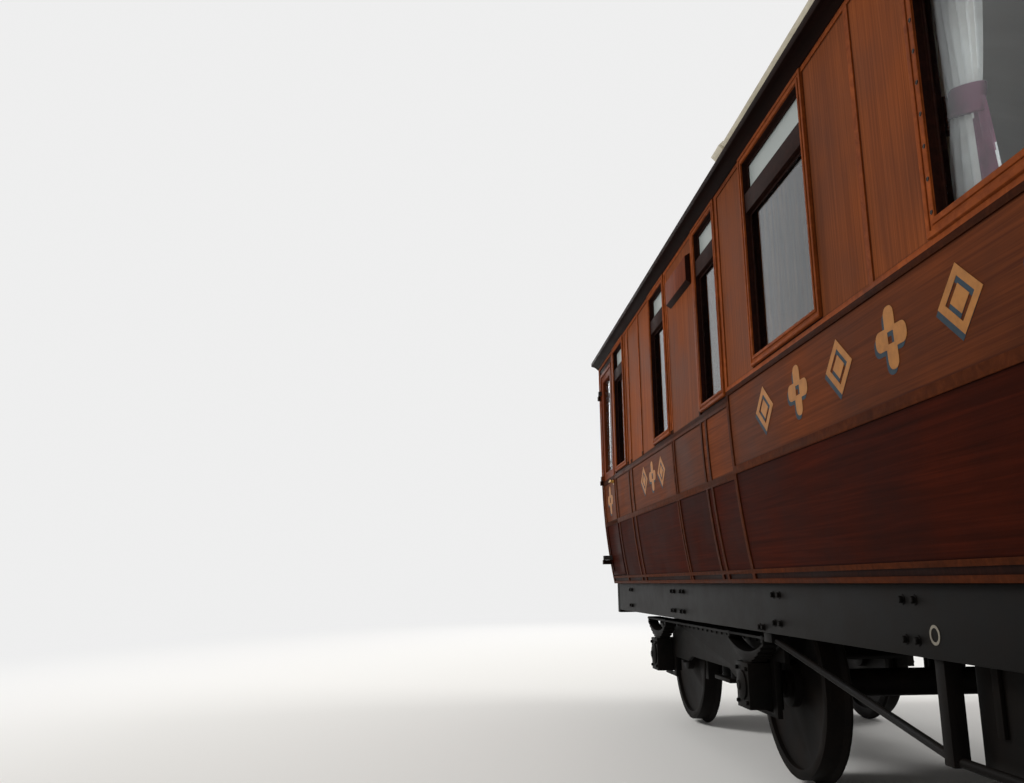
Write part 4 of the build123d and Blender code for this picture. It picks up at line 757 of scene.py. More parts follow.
@dataclass
class Studio:
    """Camera at the photograph's place, pale floor and backdrop, and soft lamps."""

    eye: tuple[float, float, float] = (-1.63, 2.795, 1.165)
    turn_deg: float = 3.557
    pitch_deg: float = 11.905
    roll_deg: float = 0.6545
    focal_px: float = 907.38
    image_width_px: float = 1024.0
    sensor_mm: float = 36.0
    floor_half: float = 400.0
    dome: float = 0.50
    pale: float = 0.86
    fade_start: float = 4.5
    fade_end: float = 13.0

    def camera(self) -> None:
        """Place the camera and make it the scene's own."""
        turn, pitch, roll = map(math.radians, (self.turn_deg, self.pitch_deg, self.roll_deg))
        ahead = Vector((math.cos(pitch) * math.cos(turn), -math.cos(pitch) * math.sin(turn),
                        math.sin(pitch)))
        level_right = ahead.cross(Vector((0, 0, 1))).normalized()
        level_up = level_right.cross(ahead)
        right = level_right * math.cos(roll) - level_up * math.sin(roll)
        up = level_right * math.sin(roll) + level_up * math.cos(roll)
        data = bpy.data.cameras.new("photograph_view")
        data.lens = self.focal_px / self.image_width_px * self.sensor_mm
        data.sensor_width = self.sensor_mm
        data.clip_end = 300.0
        camera = bpy.data.objects.new("photograph_view", data)
        camera.matrix_world = at(*self.eye) @ Matrix((right, up, -ahead)).transposed().to_4x4()
        bpy.context.scene.collection.objects.link(camera)
        bpy.context.scene.camera = camera

    def shown(self, tree: Tree) -> Socket:
        """Return a socket that is 1 to the eye, also through glass or in a gloss, and else 0."""
        path = add_node(tree, "LightPath")
        shown = path["Is Camera Ray"]
        for way in ("Is Transmission Ray", "Is Glossy Ray"):
            shown = add_node(tree, "Math", {"operation": "MAXIMUM", 0: shown, 1: path[way]})[0]
        return shown

    def backdrop(self) -> None:
        """Make the world pale to the eye and dim to the object."""
        bpy.context.scene.world = bpy.data.worlds.new("studio")
        tree = emptied_tree(bpy.context.scene.world)
        dome, pale = (add_node(tree, "Background", {"Color": "#ffffff", "Strength": strength})[0]
                      for strength in (self.dome, self.pale))
        mix = add_node(tree, "MixShader", {0: self.shown(tree), 1: dome, 2: pale})[0]
        add_node(tree, "OutputWorld", {"Surface": mix})

    def floor(self) -> None:
        """Lay the pale floor, which keeps the shadow and runs into the backdrop far out."""
        half = self.floor_half
        floor = plate("studio_floor", (-half, -half, 0), (half, half, 0))
        material = bpy.data.materials.new("pale_studio_floor")
        tree = emptied_tree(material)
        lit = add_node(tree, "BsdfDiffuse", {"Color": "#efede9"})[0]
        far = add_node(tree, "Emission", {"Color": "#ffffff", "Strength": self.pale})[0]
        place = add_node(tree, "TexCoord")["Object"]
        oval = add_node(tree, "VectorMath", {"operation": "MULTIPLY", 0: place, 1: (0.45, 1, 1)})[0]
        reach = add_node(tree, "VectorMath", {"operation": "LENGTH", 0: oval})["Value"]
        fade = add_node(tree, "MapRange", {
            "interpolation_type": "SMOOTHSTEP", "From Min": self.fade_start,
            "From Max": self.fade_end, "Value": reach})[0]
        share = add_node(tree, "Math", {"operation": "MULTIPLY", 0: fade, 1: self.shown(tree)})[0]
        mix = add_node(tree, "MixShader", {0: share, 1: lit, 2: far})[0]
        add_node(tree, "OutputMaterial", {"Surface": mix})
        floor.data.materials.append(material)

    def lamp(self, name: str, place: Point, target: Point, size: float, power: float) -> None:
        """Hang one soft square lamp.

        Args:
            name: the lamp's name.
            place: where it hangs.
            target: the point that it faces.
            size: its edge length.
            power: its power in watts.
        """
        data = bpy.data.lights.new(name, "AREA")
        data.size, data.energy = size, power
        lamp = bpy.data.objects.new(name, data)
        lamp.location = place
        lamp.rotation_euler = (Vector(target) - Vector(place)).to_track_quat("-Z", "Y").to_euler()
        bpy.context.scene.collection.objects.link(lamp)

    def build(self) -> None:
        """Set up the whole studio."""
        bpy.context.scene.view_settings.view_transform = "Standard"
        self.camera()
        self.backdrop()
        self.floor()
        self.lamp("key", (16.0, 24.0, 17.0), (2.0, 1.0, 1.8), 8.0, 4600.0)
        self.lamp("fill_right", (5.0, -26.0, 17.0), (0.0, -1.0, 1.8), 16.0, 3300.0)
        self.lamp("fill_end_b", (26.0, 0.0, 8.0), (8.0, 0.0, 2.0), 9.0, 800.0)
        self.lamp("fill_end_a", (-26.0, 0.0, 8.0), (-8.0, 0.0, 2.0), 9.0, 800.0)


@dataclass
class SidePanels:
    """Thin teak panels between the mouldings of both sides, each cut from its own board."""

    thickness: float = 0.0035
    lap: float = 0.003
    steps: int = 9
    # Width of the darkened border of each panel: painted shade and grime at the mouldings' foot
    shaded_border: float = 0.014
    strip: float = 0.010
    middle_half: float = BODY.step_x - 0.020
    lower_inner: Span = (1.221, 1.729)
    lower_outer: Span = (1.221, 1.704)
    middle_inner: Span = (1.771, 2.162)
    middle_outer: Span = (1.746, 2.111)
    upper_inner: Span = (2.208, 3.326)
    upper_outer: Span = (2.157, 3.326)
    end_spans: tuple[Span, ...] = (
        (3.230, 3.655), (3.689, 3.763), (3.801, 4.477), (4.557, 5.998), (6.042, 6.148),
        (6.192, 6.782), (6.818, 6.884))
    upper_inner_spans: tuple[Span, ...] = ((0.996, 1.393), (1.427, 1.864), (2.756, 3.190))
    upper_outer_spans: tuple[Span, ...] = (
        (3.801, 4.477), (5.102, 5.523), (5.557, 5.998), (6.042, 6.148), (6.818, 6.884))

    def both_ends(self, spans: Sequence[Span]) -> list[Span]:
        """Repeat spans of one half in mirror on the other."""
        return list(spans) + [(-x1, -x0) for x0, x1 in spans]

    def curved(self, name: str, spans: Sequence[Span], heights: Span) -> Piece:
        """Model panels of the curved lower side by spinning their top edges about its centre line.

        Args:
            name: the piece's name.
            spans: (x0, x1) of each panel.
            heights: lowest and highest z.

        Returns:
            The panels as one open sheet each.
        """
        low, high = heights[0] - self.lap, heights[1] + self.lap
        y = BODY.side(high, self.thickness)
        radius = BODY.tumble_radius + self.thickness
        first, last = (math.asin(max(BODY.tumble_top - z, 0) / radius) for z in (high, low))
        sheet = joined(name, [
            plate(name, (x0 - self.lap, y - self.strip, high), (x1 + self.lap, y, high))
            for x0, x1 in spans])
        with editing(sheet, "VERT", lambda v: v.co.y < y - self.strip / 2):
            bpy.ops.mesh.delete(type="VERT")
        with editing(sheet, "VERT"):
            bpy.ops.mesh.spin(
                steps=self.steps, angle=last - first, axis=(1, 0, 0),
                center=(0, BODY.half_width - BODY.tumble_radius, BODY.tumble_top))
        return sheet

    def flat(self, name: str, spans: Sequence[Span], heights: Span) -> Piece:
        """Model panels of the upright upper side as planes."""
        y = BODY.half_width + self.thickness
        low, high = heights[0] - self.lap, heights[1] + self.lap
        return joined(name, [plate(name, (x0 - self.lap, y, low), (x1 + self.lap, y, high))
                             for x0, x1 in spans])

    def panelled(self, name: str, sheets: Sequence[Piece], finish: Finish) -> None:
        """Thicken joined sheets, give each panel its tone, and repeat them on the right side.

        Args:
            name: the piece's name, without its side.
            sheets: open sheets, outer face of each panel.
            finish: the panels' finish.
        """
        left = joined(name + "_left", sheets)
        with editing(left, "VERT"):
            bpy.ops.mesh.normals_make_consistent(inside=False)
        if sum(f.normal.y for f in left.data.polygons) < 0:
            left.data.flip_normals()
        with editing(left):
            bpy.ops.mesh.inset(thickness=self.shaded_border, use_even_offset=True)
        # Edge is 1 at a panel's rim and 0 inside the inset, for the painted shade and grime along
        # the mouldings
        edges = left.data.attributes.new("edge", "FLOAT", "POINT")
        edges.data.foreach_set("value", [0.0 if v.select else 1.0 for v in left.data.vertices])
        modified(left, "SOLIDIFY", thickness=self.thickness, offset=-1)
        self.tone(left, SEED)
        right = twin_of(left, name + "_right", HALF_TURN)
        self.tone(right, SEED + 1)
        for piece in (left, right):
            finished(smooth(piece), finish)

    def tone(self, piece: Piece, seed: int) -> None:
        """Store one random tone for each panel, found by its place along the coach."""
        source = random.Random(seed)
        spans = self.end_spans + self.upper_inner_spans + self.upper_outer_spans
        bounds = sorted({round(s * x, 3) for span in spans for x in span for s in (1, -1)})
        rows = (self.lower_inner[1], self.middle_inner[1])
        middles = [face.center for face in piece.data.polygons]
        keys = [(sum(m.x > edge for edge in bounds), sum(m.z > edge for edge in rows))
                for m in middles]
        order = list(dict.fromkeys(keys))
        # A spin leaves faces in another order in each run, so its panels go from the middle outwards
        if min(m.z for m in middles) < self.middle_outer[1]:
            order.sort(key=lambda key: (abs(key[0] - len(bounds) // 2), key))
        drawn = {key: source.random() for key in order}
        kept = piece.data.attributes
        tones = kept.get("tone") or kept.new("tone", "FLOAT", "FACE")
        tones.data.foreach_set("value", [drawn[key] for key in keys])

    def build(self) -> None:
        """Model every band of panels on both sides."""
        middle = [(-self.middle_half, self.middle_half)]
        ends = self.both_ends(self.end_spans)
        for name, inner, outer, finish in (
            ("lower", self.lower_inner, self.lower_outer, TEAK_LOWER),
            ("waist", self.middle_inner, self.middle_outer, TEAK_WAIST),
        ):
            self.panelled(f"{name}_panels", (self.curved(f"{name}_a", middle, inner),
                                             self.curved(f"{name}_b", ends, outer)), finish)
        self.panelled("upper_panels", (
            self.flat("upper_a", self.both_ends(self.upper_inner_spans), self.upper_inner),
            self.flat("upper_b", self.both_ends(self.upper_outer_spans), self.upper_outer)),
            TEAK_UPPER)


@dataclass
class Mouldings:
    """Half-round mouldings, window frames, side and end walls, cornices and hoods."""

    round_edge: float = 0.0085
    small_edge: float = 0.004
    splay: float = 0.120
    jamb_slack: float = 0.002
    # Where the waist rail's darker finish, with its painted shade, starts and ends, and the slightly
    # wider band that takes it
    rail_cuts: Span = (2.131, 2.188)
    rail_band: Span = (2.129, 2.189)
    skin: float = 0.004

    def splay_reveals(self, side: Piece) -> None:
        """Widen the big windows' opening towards the inside, so that the curtains show."""
        jamb = WINDOWS[0].width / 2
        inner = BODY.half_width - BODY.wall + self.skin
        for end in (1, -1):
            with editing(side, "VERT", lambda v: abs(v.co.x - end * jamb) < self.jamb_slack
                         and abs(v.co.y) < inner):
                bpy.ops.transform.translate(value=(end * self.splay, 0, 0))

    def build(self) -> None:
        """Ease the edges of copies of the CAD pieces."""
        rail_low, rail_high = self.rail_band
        for side in ("left", "right"):
            # The beads keep the darker bead finish below the waist, with the shade on the lower side
            # painted in, and take the frames' lighter finish above it
            beads = stand_in(f"mouldings_{side}", f"rounded_mouldings_{side}", self.round_edge,
                             TEAK_BEAD, segments=4, cuts=self.rail_cuts)
            # The waist rail's band takes the rail finish, darker to paint in the shade under the
            # sills
            partly(beads, TEAK_RAIL, lambda f: rail_low < f.center.z < rail_high)
            partly(beads, TEAK_FRAME, lambda f: f.center.z > rail_high)
            frames = stand_in(f"window_frames_{side}", f"rounded_window_frames_{side}",
                              self.small_edge, TEAK_FRAME, segments=3)
            # Faces inside the opening take the dark sash finish: painted shade in the reveals
            partly(frames, TEAK_SASH, lambda f: abs(f.center.y) < BODY.half_width + 0.002)
            # The carcase takes the nearly black finish: painted shade in the gaps and jambs
            wall = stand_in(f"side_{side}", f"carcase_{side}", 0.0, TEAK_CARCASE)
            self.splay_reveals(wall)
            partly(wall, INNER_OAK,
                   lambda f: abs(f.center.y) < BODY.side(f.center.z) - BODY.wall + self.skin)
        stand_in("cornices", "shaped_cornices", 0.006, CORNICE_BROWN)
        for end in ("a", "b"):
            stand_in(f"end_{end}", f"end_wall_{end}", 0.003, TEAK_END)
        hoods = stand_in("vent_hoods", "louvre_hoods", 0.004, TEAK_DOOR)
        # Faces that look down or along the coach take the dark sash finish: painted shade under and
        # at the ends of the hoods
        partly(hoods, TEAK_SASH, lambda f: f.normal.z < -0.4 or abs(f.normal.x) > 0.6)


@dataclass
class Glazier:
    """Panes, their inner beads, and the beads, drips and screws of the frames."""

    pane: float = 0.006
    arris: float = 0.0008
    bead: float = 0.008
    bead_depth: float = 0.007
    bead_round: float = 0.003
    bead_gap: float = 0.0005
    lap: float = 0.002
    roll: float = 0.017
    big_roll: float = 0.022
    roll_rise: float = 0.007
    screw_pitch: float = 0.112
    screw_inset: float = 0.030
    screw_slot: float = 0.001
    drip_low: float = 3.024
    drip_high: float = 3.148
    drip_face: float = 1.301
    drip_slope: float = 0.020

    def bead_ring(self, name: str, low: Point, high: Point, width: float, rise: float) -> Piece:
        """Model a bead round a rectangle in the XZ plane, by inset and extrusion.

        Args:
            name: the piece's name.
            low: lowest outer corner, on the face that the bead stands on.
            high: highest outer corner.
            width: the bead's width.
            rise: how far it stands out along +Y.

        Returns:
            The closed ring.
        """
        ring = plate(name, low, high)
        with editing(ring):
            bpy.ops.mesh.inset(thickness=width)
            bpy.ops.mesh.delete(type="FACE")
        with editing(ring):
            bpy.ops.mesh.extrude_region_move(TRANSFORM_OT_translate={"value": (0, rise, 0)})
            face_outwards()
        return ring

    def openings(self) -> Iterator[tuple[WindowSize, float, float]]:
        """Yield every window of the left side with its edges along X."""
        for window in WINDOWS:
            for side in (1, -1) if window.x else (1,):
                x = window.x * side
                yield window, x - window.width / 2, x + window.width / 2

    def panes(self) -> Iterator[tuple[float, float, float, float, bool]]:
        """Yield x0, x1, z0, z1 of every pane of the left side, and whether it is a top light."""
        for window, left, right in self.openings():
            spans = [(left + RING, right - RING)]
            if window.x == 0:
                spans = [(left + RING, -MULLION / 2), (MULLION / 2, right - RING)]
            for x0, x1 in spans:
                yield x0, x1, window.sill + RING, TRANSOM_Z - TRANSOM / 2, False
                yield x0, x1, TRANSOM_Z + TRANSOM / 2, WINDOW_HEAD - RING, True

    def glaze(self, top: bool, name: str, finish: Finish) -> None:
        """Model the clear panes or the top lights of both sides."""
        left = joined(name, [
            block(name, (x0, GLASS_Y - self.pane, z0), (x1, GLASS_Y, z1), self.arris, 1)
            for x0, x1, z0, z1, is_top in self.panes() if is_top == top])
        set_out(name, left, MIRRORED_PAIR, finish, nodes=("window_glass",), degrees=0)

    def beads(self) -> None:
        """Model the small bead that holds each pane."""
        y = GLASS_Y + self.bead_gap
        left = joined("glazing_beads", [
            self.bead_ring("glazing_beads", (x0, y, z0), (x1, y, z1), self.bead, self.bead_depth)
            for x0, x1, z0, z1, _ in self.panes()])
        modified(left, "BEVEL", width=self.bead_round, segments=2, limit_method="ANGLE")
        # The glazing beads take the dark sash finish: painted shade inside the openings
        set_out("glazing_beads", left, MIRRORED_PAIR, TEAK_SASH)

    def rolls(self) -> None:
        """Model the pair of half-round rolls round each frame, with a dark quirk between."""
        rings = []
        y, tuck = BODY.half_width + TRIM_OUT - self.lap, self.lap / 2
        for window, left, right in self.openings():
            roll = self.big_roll if window.x == 0 else self.roll
            top = min(WINDOW_HEAD + window.trim, BODY.panel_top)
            for out in (window.trim - tuck, roll - TRIM_OUT + tuck):
                low = (left - out, y, window.sill - out)
                high = (right + out, y, min(WINDOW_HEAD + out, top - tuck))
                rings.append(self.bead_ring("frame_rolls", low, high, roll, self.roll_rise))
        side = joined("frame_rolls", rings)
        modified(side, "BEVEL", width=self.roll_rise * 0.95, segments=3, limit_method="ANGLE")
        set_out("frame_rolls", side, TURNED_PAIR, TEAK_FRAME)

    def drips(self) -> None:
        """Model the weathered drip on each transom, its top sloped to throw the rain off."""
        bars = []
        inner, tuck = TRIM_OUT + self.lap, self.lap / 2
        front, top = self.drip_face - tuck, self.drip_high - tuck
        for window, left, right in self.openings():
            bar = block("transom_drips", (left + inner, GLASS_Y + tuck, self.drip_low),
                        (right - inner, self.drip_face, self.drip_high))
            with editing(bar, "EDGE", lambda m: m.y > front and m.z > top):
                bpy.ops.mesh.bevel(offset=self.drip_slope, segments=1, affect="EDGES")
            with editing(bar, "EDGE", lambda m: m.y > front):
                bpy.ops.mesh.bevel(offset=self.bead_round, segments=2, affect="EDGES")
            bars.append(bar)
        # The drips take the dark sash finish: painted shade on the transoms
        set_out("transom_drips", joined("transom_drips", bars), TURNED_PAIR, TEAK_SASH)

    def screws(self) -> None:
        """Model one countersunk screw and set a row up each side of the big windows' frames."""
        screw = turned("frame_screws", ((-0.003, 0.0080), (0.0010, 0.0080), (0.0024, 0.0062)), 12)
        with editing(screw, "FACE", lambda f: f.normal.z > 0.9 and f.center.z > 0.001):
            bpy.ops.mesh.inset(thickness=0.0015)
            bpy.ops.transform.translate(value=(0, 0, -self.screw_slot))
        big = WINDOWS[0]
        x = big.width / 2 - TRIM_OUT + self.lap / 2 + self.big_roll / 2
        y = BODY.half_width + TRIM_OUT + self.roll_rise - self.lap
        count = int((WINDOW_HEAD - big.sill) / self.screw_pitch) + 1
        left = repeated("frame_screws", screw, [
            at(side * x, y, big.sill + self.screw_inset + i * self.screw_pitch) @ FACE_OUT
            for side in (1, -1) for i in range(count)])
        set_out("frame_screws", left, TURNED_PAIR, LAMP_BLACK)

    def build(self) -> None:
        """Glaze both sides."""
        self.glaze(False, "clear_panes", CLEAR_GLASS)
        self.glaze(True, "etched_top_lights", ETCHED_GLASS)
        self.beads()
        self.rolls()
        self.drips()
        self.screws()


@dataclass
class Gilding:
    """Gilt lozenges and quatrefoils on the waist panels and doors, with their painted shade."""

    height: float = 0.225
    width: float = 0.250
    middle_z: float = 1.9825
    pitch: float = 0.440
    count: int = 13
    leaf: float = 0.0008
    border: float = 0.030
    channel: float = 0.018
    channel_reach: Span = (0.017, 0.047)
    heart: float = 0.020
    eye: float = 0.016
    petal: float = 0.032
    shift: float = 0.016
    shade_out: float = 0.0044
    leaf_out: float = 0.0052
    small_x: tuple[float, ...] = (4.935, 5.245, 5.555)
    small_z: float = 1.955
    door_z: float = 1.945
    door_scale: float = 1.20
    door_sink: float = 0.0035

    def lozenge(self, name: str) -> Piece:
        """Model a pierced lozenge with a heart, flat in the XZ plane."""
        bpy.ops.mesh.primitive_circle_add(vertices=4, radius=0.5, fill_type="NGON",
                                          rotation=(math.pi / 2, 0, 0))
        piece = settled(name, (self.width, self.height, 1))
        with editing(piece):
            bpy.ops.mesh.inset(thickness=self.border)
            bpy.ops.mesh.inset(thickness=self.channel)
        near, far = self.channel_reach
        with editing(piece, "FACE", lambda f: near < max(abs(f.center.x), abs(f.center.z)) < far
                     and len(f.vertices) == 4 and f.center.length > self.heart):
            bpy.ops.mesh.delete(type="FACE")
        return piece

    def quatrefoil(self, name: str) -> Piece:
        """Model a cross of nine grid faces without its corners, its arms rounded."""
        bpy.ops.mesh.primitive_grid_add(x_subdivisions=3, y_subdivisions=3, size=1,
                                        rotation=(math.pi / 2, 0, 0))
        piece = settled(name, (self.width * 0.90, self.height, 1))
        third = self.height / 3
        with editing(piece, "FACE", lambda f: min(abs(f.center.x), abs(f.center.z)) > third / 2):
            bpy.ops.mesh.delete(type="FACE")
        with editing(piece, "FACE", lambda f: f.center.length < third / 2):
            bpy.ops.mesh.inset(thickness=self.eye)
            bpy.ops.mesh.delete(type="FACE")
        with editing(piece, "VERT", lambda v: max(abs(v.co.x), abs(v.co.z)) > third):
            bpy.ops.mesh.bevel(offset=self.petal, segments=5, affect="VERTICES",
                               clamp_overlap=True)
        return piece

    def laid(self, piece: Piece, out: float) -> Piece:
        """Lay a flat ornament on the curved side, thin and closed, standing off it by out."""
        with editing(piece, "EDGE"):
            bpy.ops.mesh.quads_convert_to_tris()
            bpy.ops.mesh.subdivide(number_cuts=1)
        for point in piece.data.vertices:
            point.co.y = BODY.side(point.co.z, out)
        if sum(f.normal.y * f.area for f in piece.data.polygons) < 0:
            piece.data.flip_normals()
        return modified(piece, "SOLIDIFY", thickness=self.leaf, offset=-1)

    def places(self, kind: int, drop: Matrix) -> list[Matrix]:
        """Places of one kind of ornament along the left side: a long row and two short ones."""
        start = -(self.count - 1) / 2
        row = [((start + i) * self.pitch, self.middle_z)
               for i in range(self.count) if i % 2 == kind]
        for side in (1, -1):
            row += [(side * x, self.small_z) for i, x in enumerate(self.small_x) if i % 2 == kind]
        return [drop @ at(x, 0, z) for x, z in row]

    def build(self) -> None:
        """Set the ornaments along both waists and on the four doors."""
        for label, shift, out, finish in (("shade", self.shift, self.shade_out, SHADE_PAINT),
                                          ("gilt", 0.0, self.leaf_out, GOLD_LEAF)):
            drop = at(shift, 0, -shift)
            row = [repeated(f"{label}_row", model(f"{label}_model"), self.places(kind, drop))
                   for kind, model in enumerate((self.lozenge, self.quatrefoil))]
            left = self.laid(joined(f"{label}_ornaments", row), out)
            set_out(f"{label}_ornaments", left, TURNED_PAIR, finish, degrees=0)
            for door, side, hinge_x in DOORS:
                mark = self.quatrefoil(f"{door}_{label}")
                place = at(math.copysign(DOOR_X, side * hinge_x), 0, self.door_z)
                moved(mark, drop @ place @ Matrix.Scale(self.door_scale, 4))
                self.laid(mark, out - self.door_sink)
                moved(mark, HERE if side > 0 else HALF_TURN)
                finished(mark, finish, door)


@dataclass
class Roofer:
    """Painted canvas roof with its seams, rain strips and ventilators."""

    seam_pitch: float = 1.830
    seam_half: float = 0.011
    seam_rise: float = 0.003
    vent_pitch: float = 1.8
    vent_count: int = 8
    vent_y: float = 0.430
    vent_foot: float = 3.913
    vent_z: float = 4.008

    def vents(self) -> None:
        """Turn one ventilator and set it along the roof, left and right by turns."""
        half_head = ((0.064, 0.0590), (0.066, 0.0615), (0.074, 0.0615), (0.082, 0.0580),
                     (0.147, 0.029), (0.150, 0.025))
        head = turned("torpedo_vents", [(-z, radius) for z, radius in half_head[::-1]]
                      + list(half_head), 32)
        moved(head, at(0, 0, self.vent_z) @ LIE_ALONG)
        foot = self.vent_foot
        stem = turned("vent_stems", ((foot - 0.036, 0.062), (foot + 0.014, 0.062),
                                     (foot + 0.018, 0.058), (foot + 0.020, 0.041),
                                     (self.vent_z, 0.038)))
        places = [at((i - (self.vent_count - 1) / 2) * self.vent_pitch,
                     self.vent_y * (1 if i % 2 else -1), 0) for i in range(self.vent_count)]
        for name, model in (("torpedo_vents", head), ("vent_stems", stem)):
            set_out(name, model, places, VENT_PAINT, nodes=("roof_vents",),
                    degrees=40.0)

    def seams(self) -> None:
        """Cut thin slices from a copy of the roof and swell them into cover strips."""
        slices = []
        count = int(BODY.half_length / self.seam_pitch)
        for i in range(-count, count + 1):
            piece = eased_copy("roof", "canvas_seams", 0.0)
            with editing(piece, "VERT"):
                for shift, outer in ((-self.seam_half, False), (self.seam_half, True)):
                    bpy.ops.mesh.bisect(plane_co=(i * self.seam_pitch + shift, 0, 0),
                                        plane_no=(1, 0, 0), use_fill=True,
                                        clear_inner=not outer, clear_outer=outer)
                    bpy.ops.mesh.select_all(action="SELECT")
                bpy.ops.transform.shrink_fatten(value=self.seam_rise)
            slices.append(piece)
        finished(smooth(joined("canvas_seams", slices)), ROOF_CANVAS)

    def build(self) -> None:
        """Dress the roof and what stands on it."""
        self.seams()
        self.vents()
        stand_in("roof", "canvas_roof", 0.006, ROOF_CANVAS)
        stand_in("roof_strips", "rain_strips", 0.003, ROOF_CANVAS)


@dataclass
class Ends:
    """Folded gangway bellows and their face frames."""

    start: float = 7.6205
    length: float = 0.319
    folds: int = 8
    outer: Span = (0.549, 1.1064)
    corner: float = 0.05
    depth: float = 0.084
    middle_z: float = 2.2957
    skin: float = 0.004

    def bellows(self) -> Piece:
        """Extrude a rectangle's edges along the coach, wide and narrow by turns."""
        half_y, half_z = self.outer
        sheet = plate("gangway_folds", (self.start, -half_y, self.middle_z - half_z),
                      (self.start, half_y, self.middle_z + half_z))
        with editing(sheet, "VERT"):
            bpy.ops.mesh.bevel(offset=self.corner, segments=4, affect="VERTICES")
        with editing(sheet):
            bpy.ops.mesh.delete(type="ONLY_FACE")
        step = self.length / (2 * self.folds)
        small = ((half_y - self.depth) / half_y, (half_z - self.depth) / half_z)
        x = self.start
        with editing(sheet, "EDGE"):
            for i in range(2 * self.folds):
                x += step
                bpy.ops.mesh.extrude_region_move(TRANSFORM_OT_translate={"value": (step, 0, 0)})
                share = small if i % 2 == 0 else (1 / small[0], 1 / small[1])
                bpy.ops.transform.resize(value=(1, *share), center_override=(x, 0, self.middle_z))
        with editing(sheet, "VERT"):
            bpy.ops.mesh.normals_make_consistent(inside=False)
        return modified(sheet, "SOLIDIFY", thickness=self.skin, offset=-1)

    def build(self) -> None:
        """Model both gangways."""
        set_out("gangway_folds", self.bellows(), (HERE, MIRROR_X), RUBBER_CLOTH,
                nodes=("gangway_bellows",), degrees=20.0)
        stand_in("gangway_frames", "gangway_face_frames", 0.006, BLACK_IRON)


@dataclass
class Doors:
    """The four hinged doors with their handles and panes."""

    handle_z: float = 2.10
    latch_inset: float = 0.055
    strap_out: float = 0.017
    mid_rail: Span = (1.704, 1.746)
    waist_rail: Span = (2.111, 2.157)
    outer_skin: float = 0.030

    def handle(self) -> Piece:
        """Model a brass T handle on a round plate, facing +Y at the origin."""
        boss = turned("door_handle", ((0, 0.034), (0.004, 0.034), (0.008, 0.016), (0.030, 0.011),
                                      (0.034, 0.017), (0.042, 0.017), (0.046, 0.010)), 20)
        grip = turned("grip", ((-0.055, 0.004), (-0.048, 0.009), (0, 0.007), (0.048, 0.009),
                               (0.055, 0.004)), 14)
        moved(grip, at(0, 0, 0.038) @ LIE_ALONG)
        return moved(joined("door_handle", (boss, grip)), FACE_OUT)

    def bands(self, leaf: Piece) -> None:
        """Carry the side's rails and its darker lower panels, with their painted shade, over a
        finished leaf's outer face.
        """
        rails = (self.mid_rail, self.waist_rail)
        for finish, bands in (
            (TEAK_LOWER, [(0.0, self.mid_rail[0])]),
            (TEAK_WAIST, [(self.mid_rail[1], self.waist_rail[0])]),
            (TEAK_RAIL, rails),
        ):
            partly(leaf, finish, lambda f: any(low < f.center.z < high for low, high in bands)
                   and abs(f.center.y) > BODY.side(f.center.z) - self.outer_skin)
        partly(leaf, LAMP_BLACK, lambda f: abs(f.center.y) > BODY.side(f.center.z) + self.strap_out)

    def build(self) -> None:
        """Dress each door."""
        for name, side, hinge_x in DOORS:
            leaf = stand_in(name, f"{name}_leaf", 0.004, TEAK_DOOR, name,
                            cuts=self.mid_rail + self.waist_rail)
            self.bands(leaf)
            stand_in(f"{name}_glass", f"{name}_pane", 0.0008, CLEAR_GLASS, name)
            latch = at(hinge_x - side * (2 * DOOR_HALF - self.latch_inset),
                       side * (BODY.side(self.handle_z) + 0.001), self.handle_z)
            handle = moved(self.handle(), latch @ (HERE if side > 0 else HALF_TURN))
            handle.name = f"{name}_handle"
            finished(smooth(handle), BRASS, name)


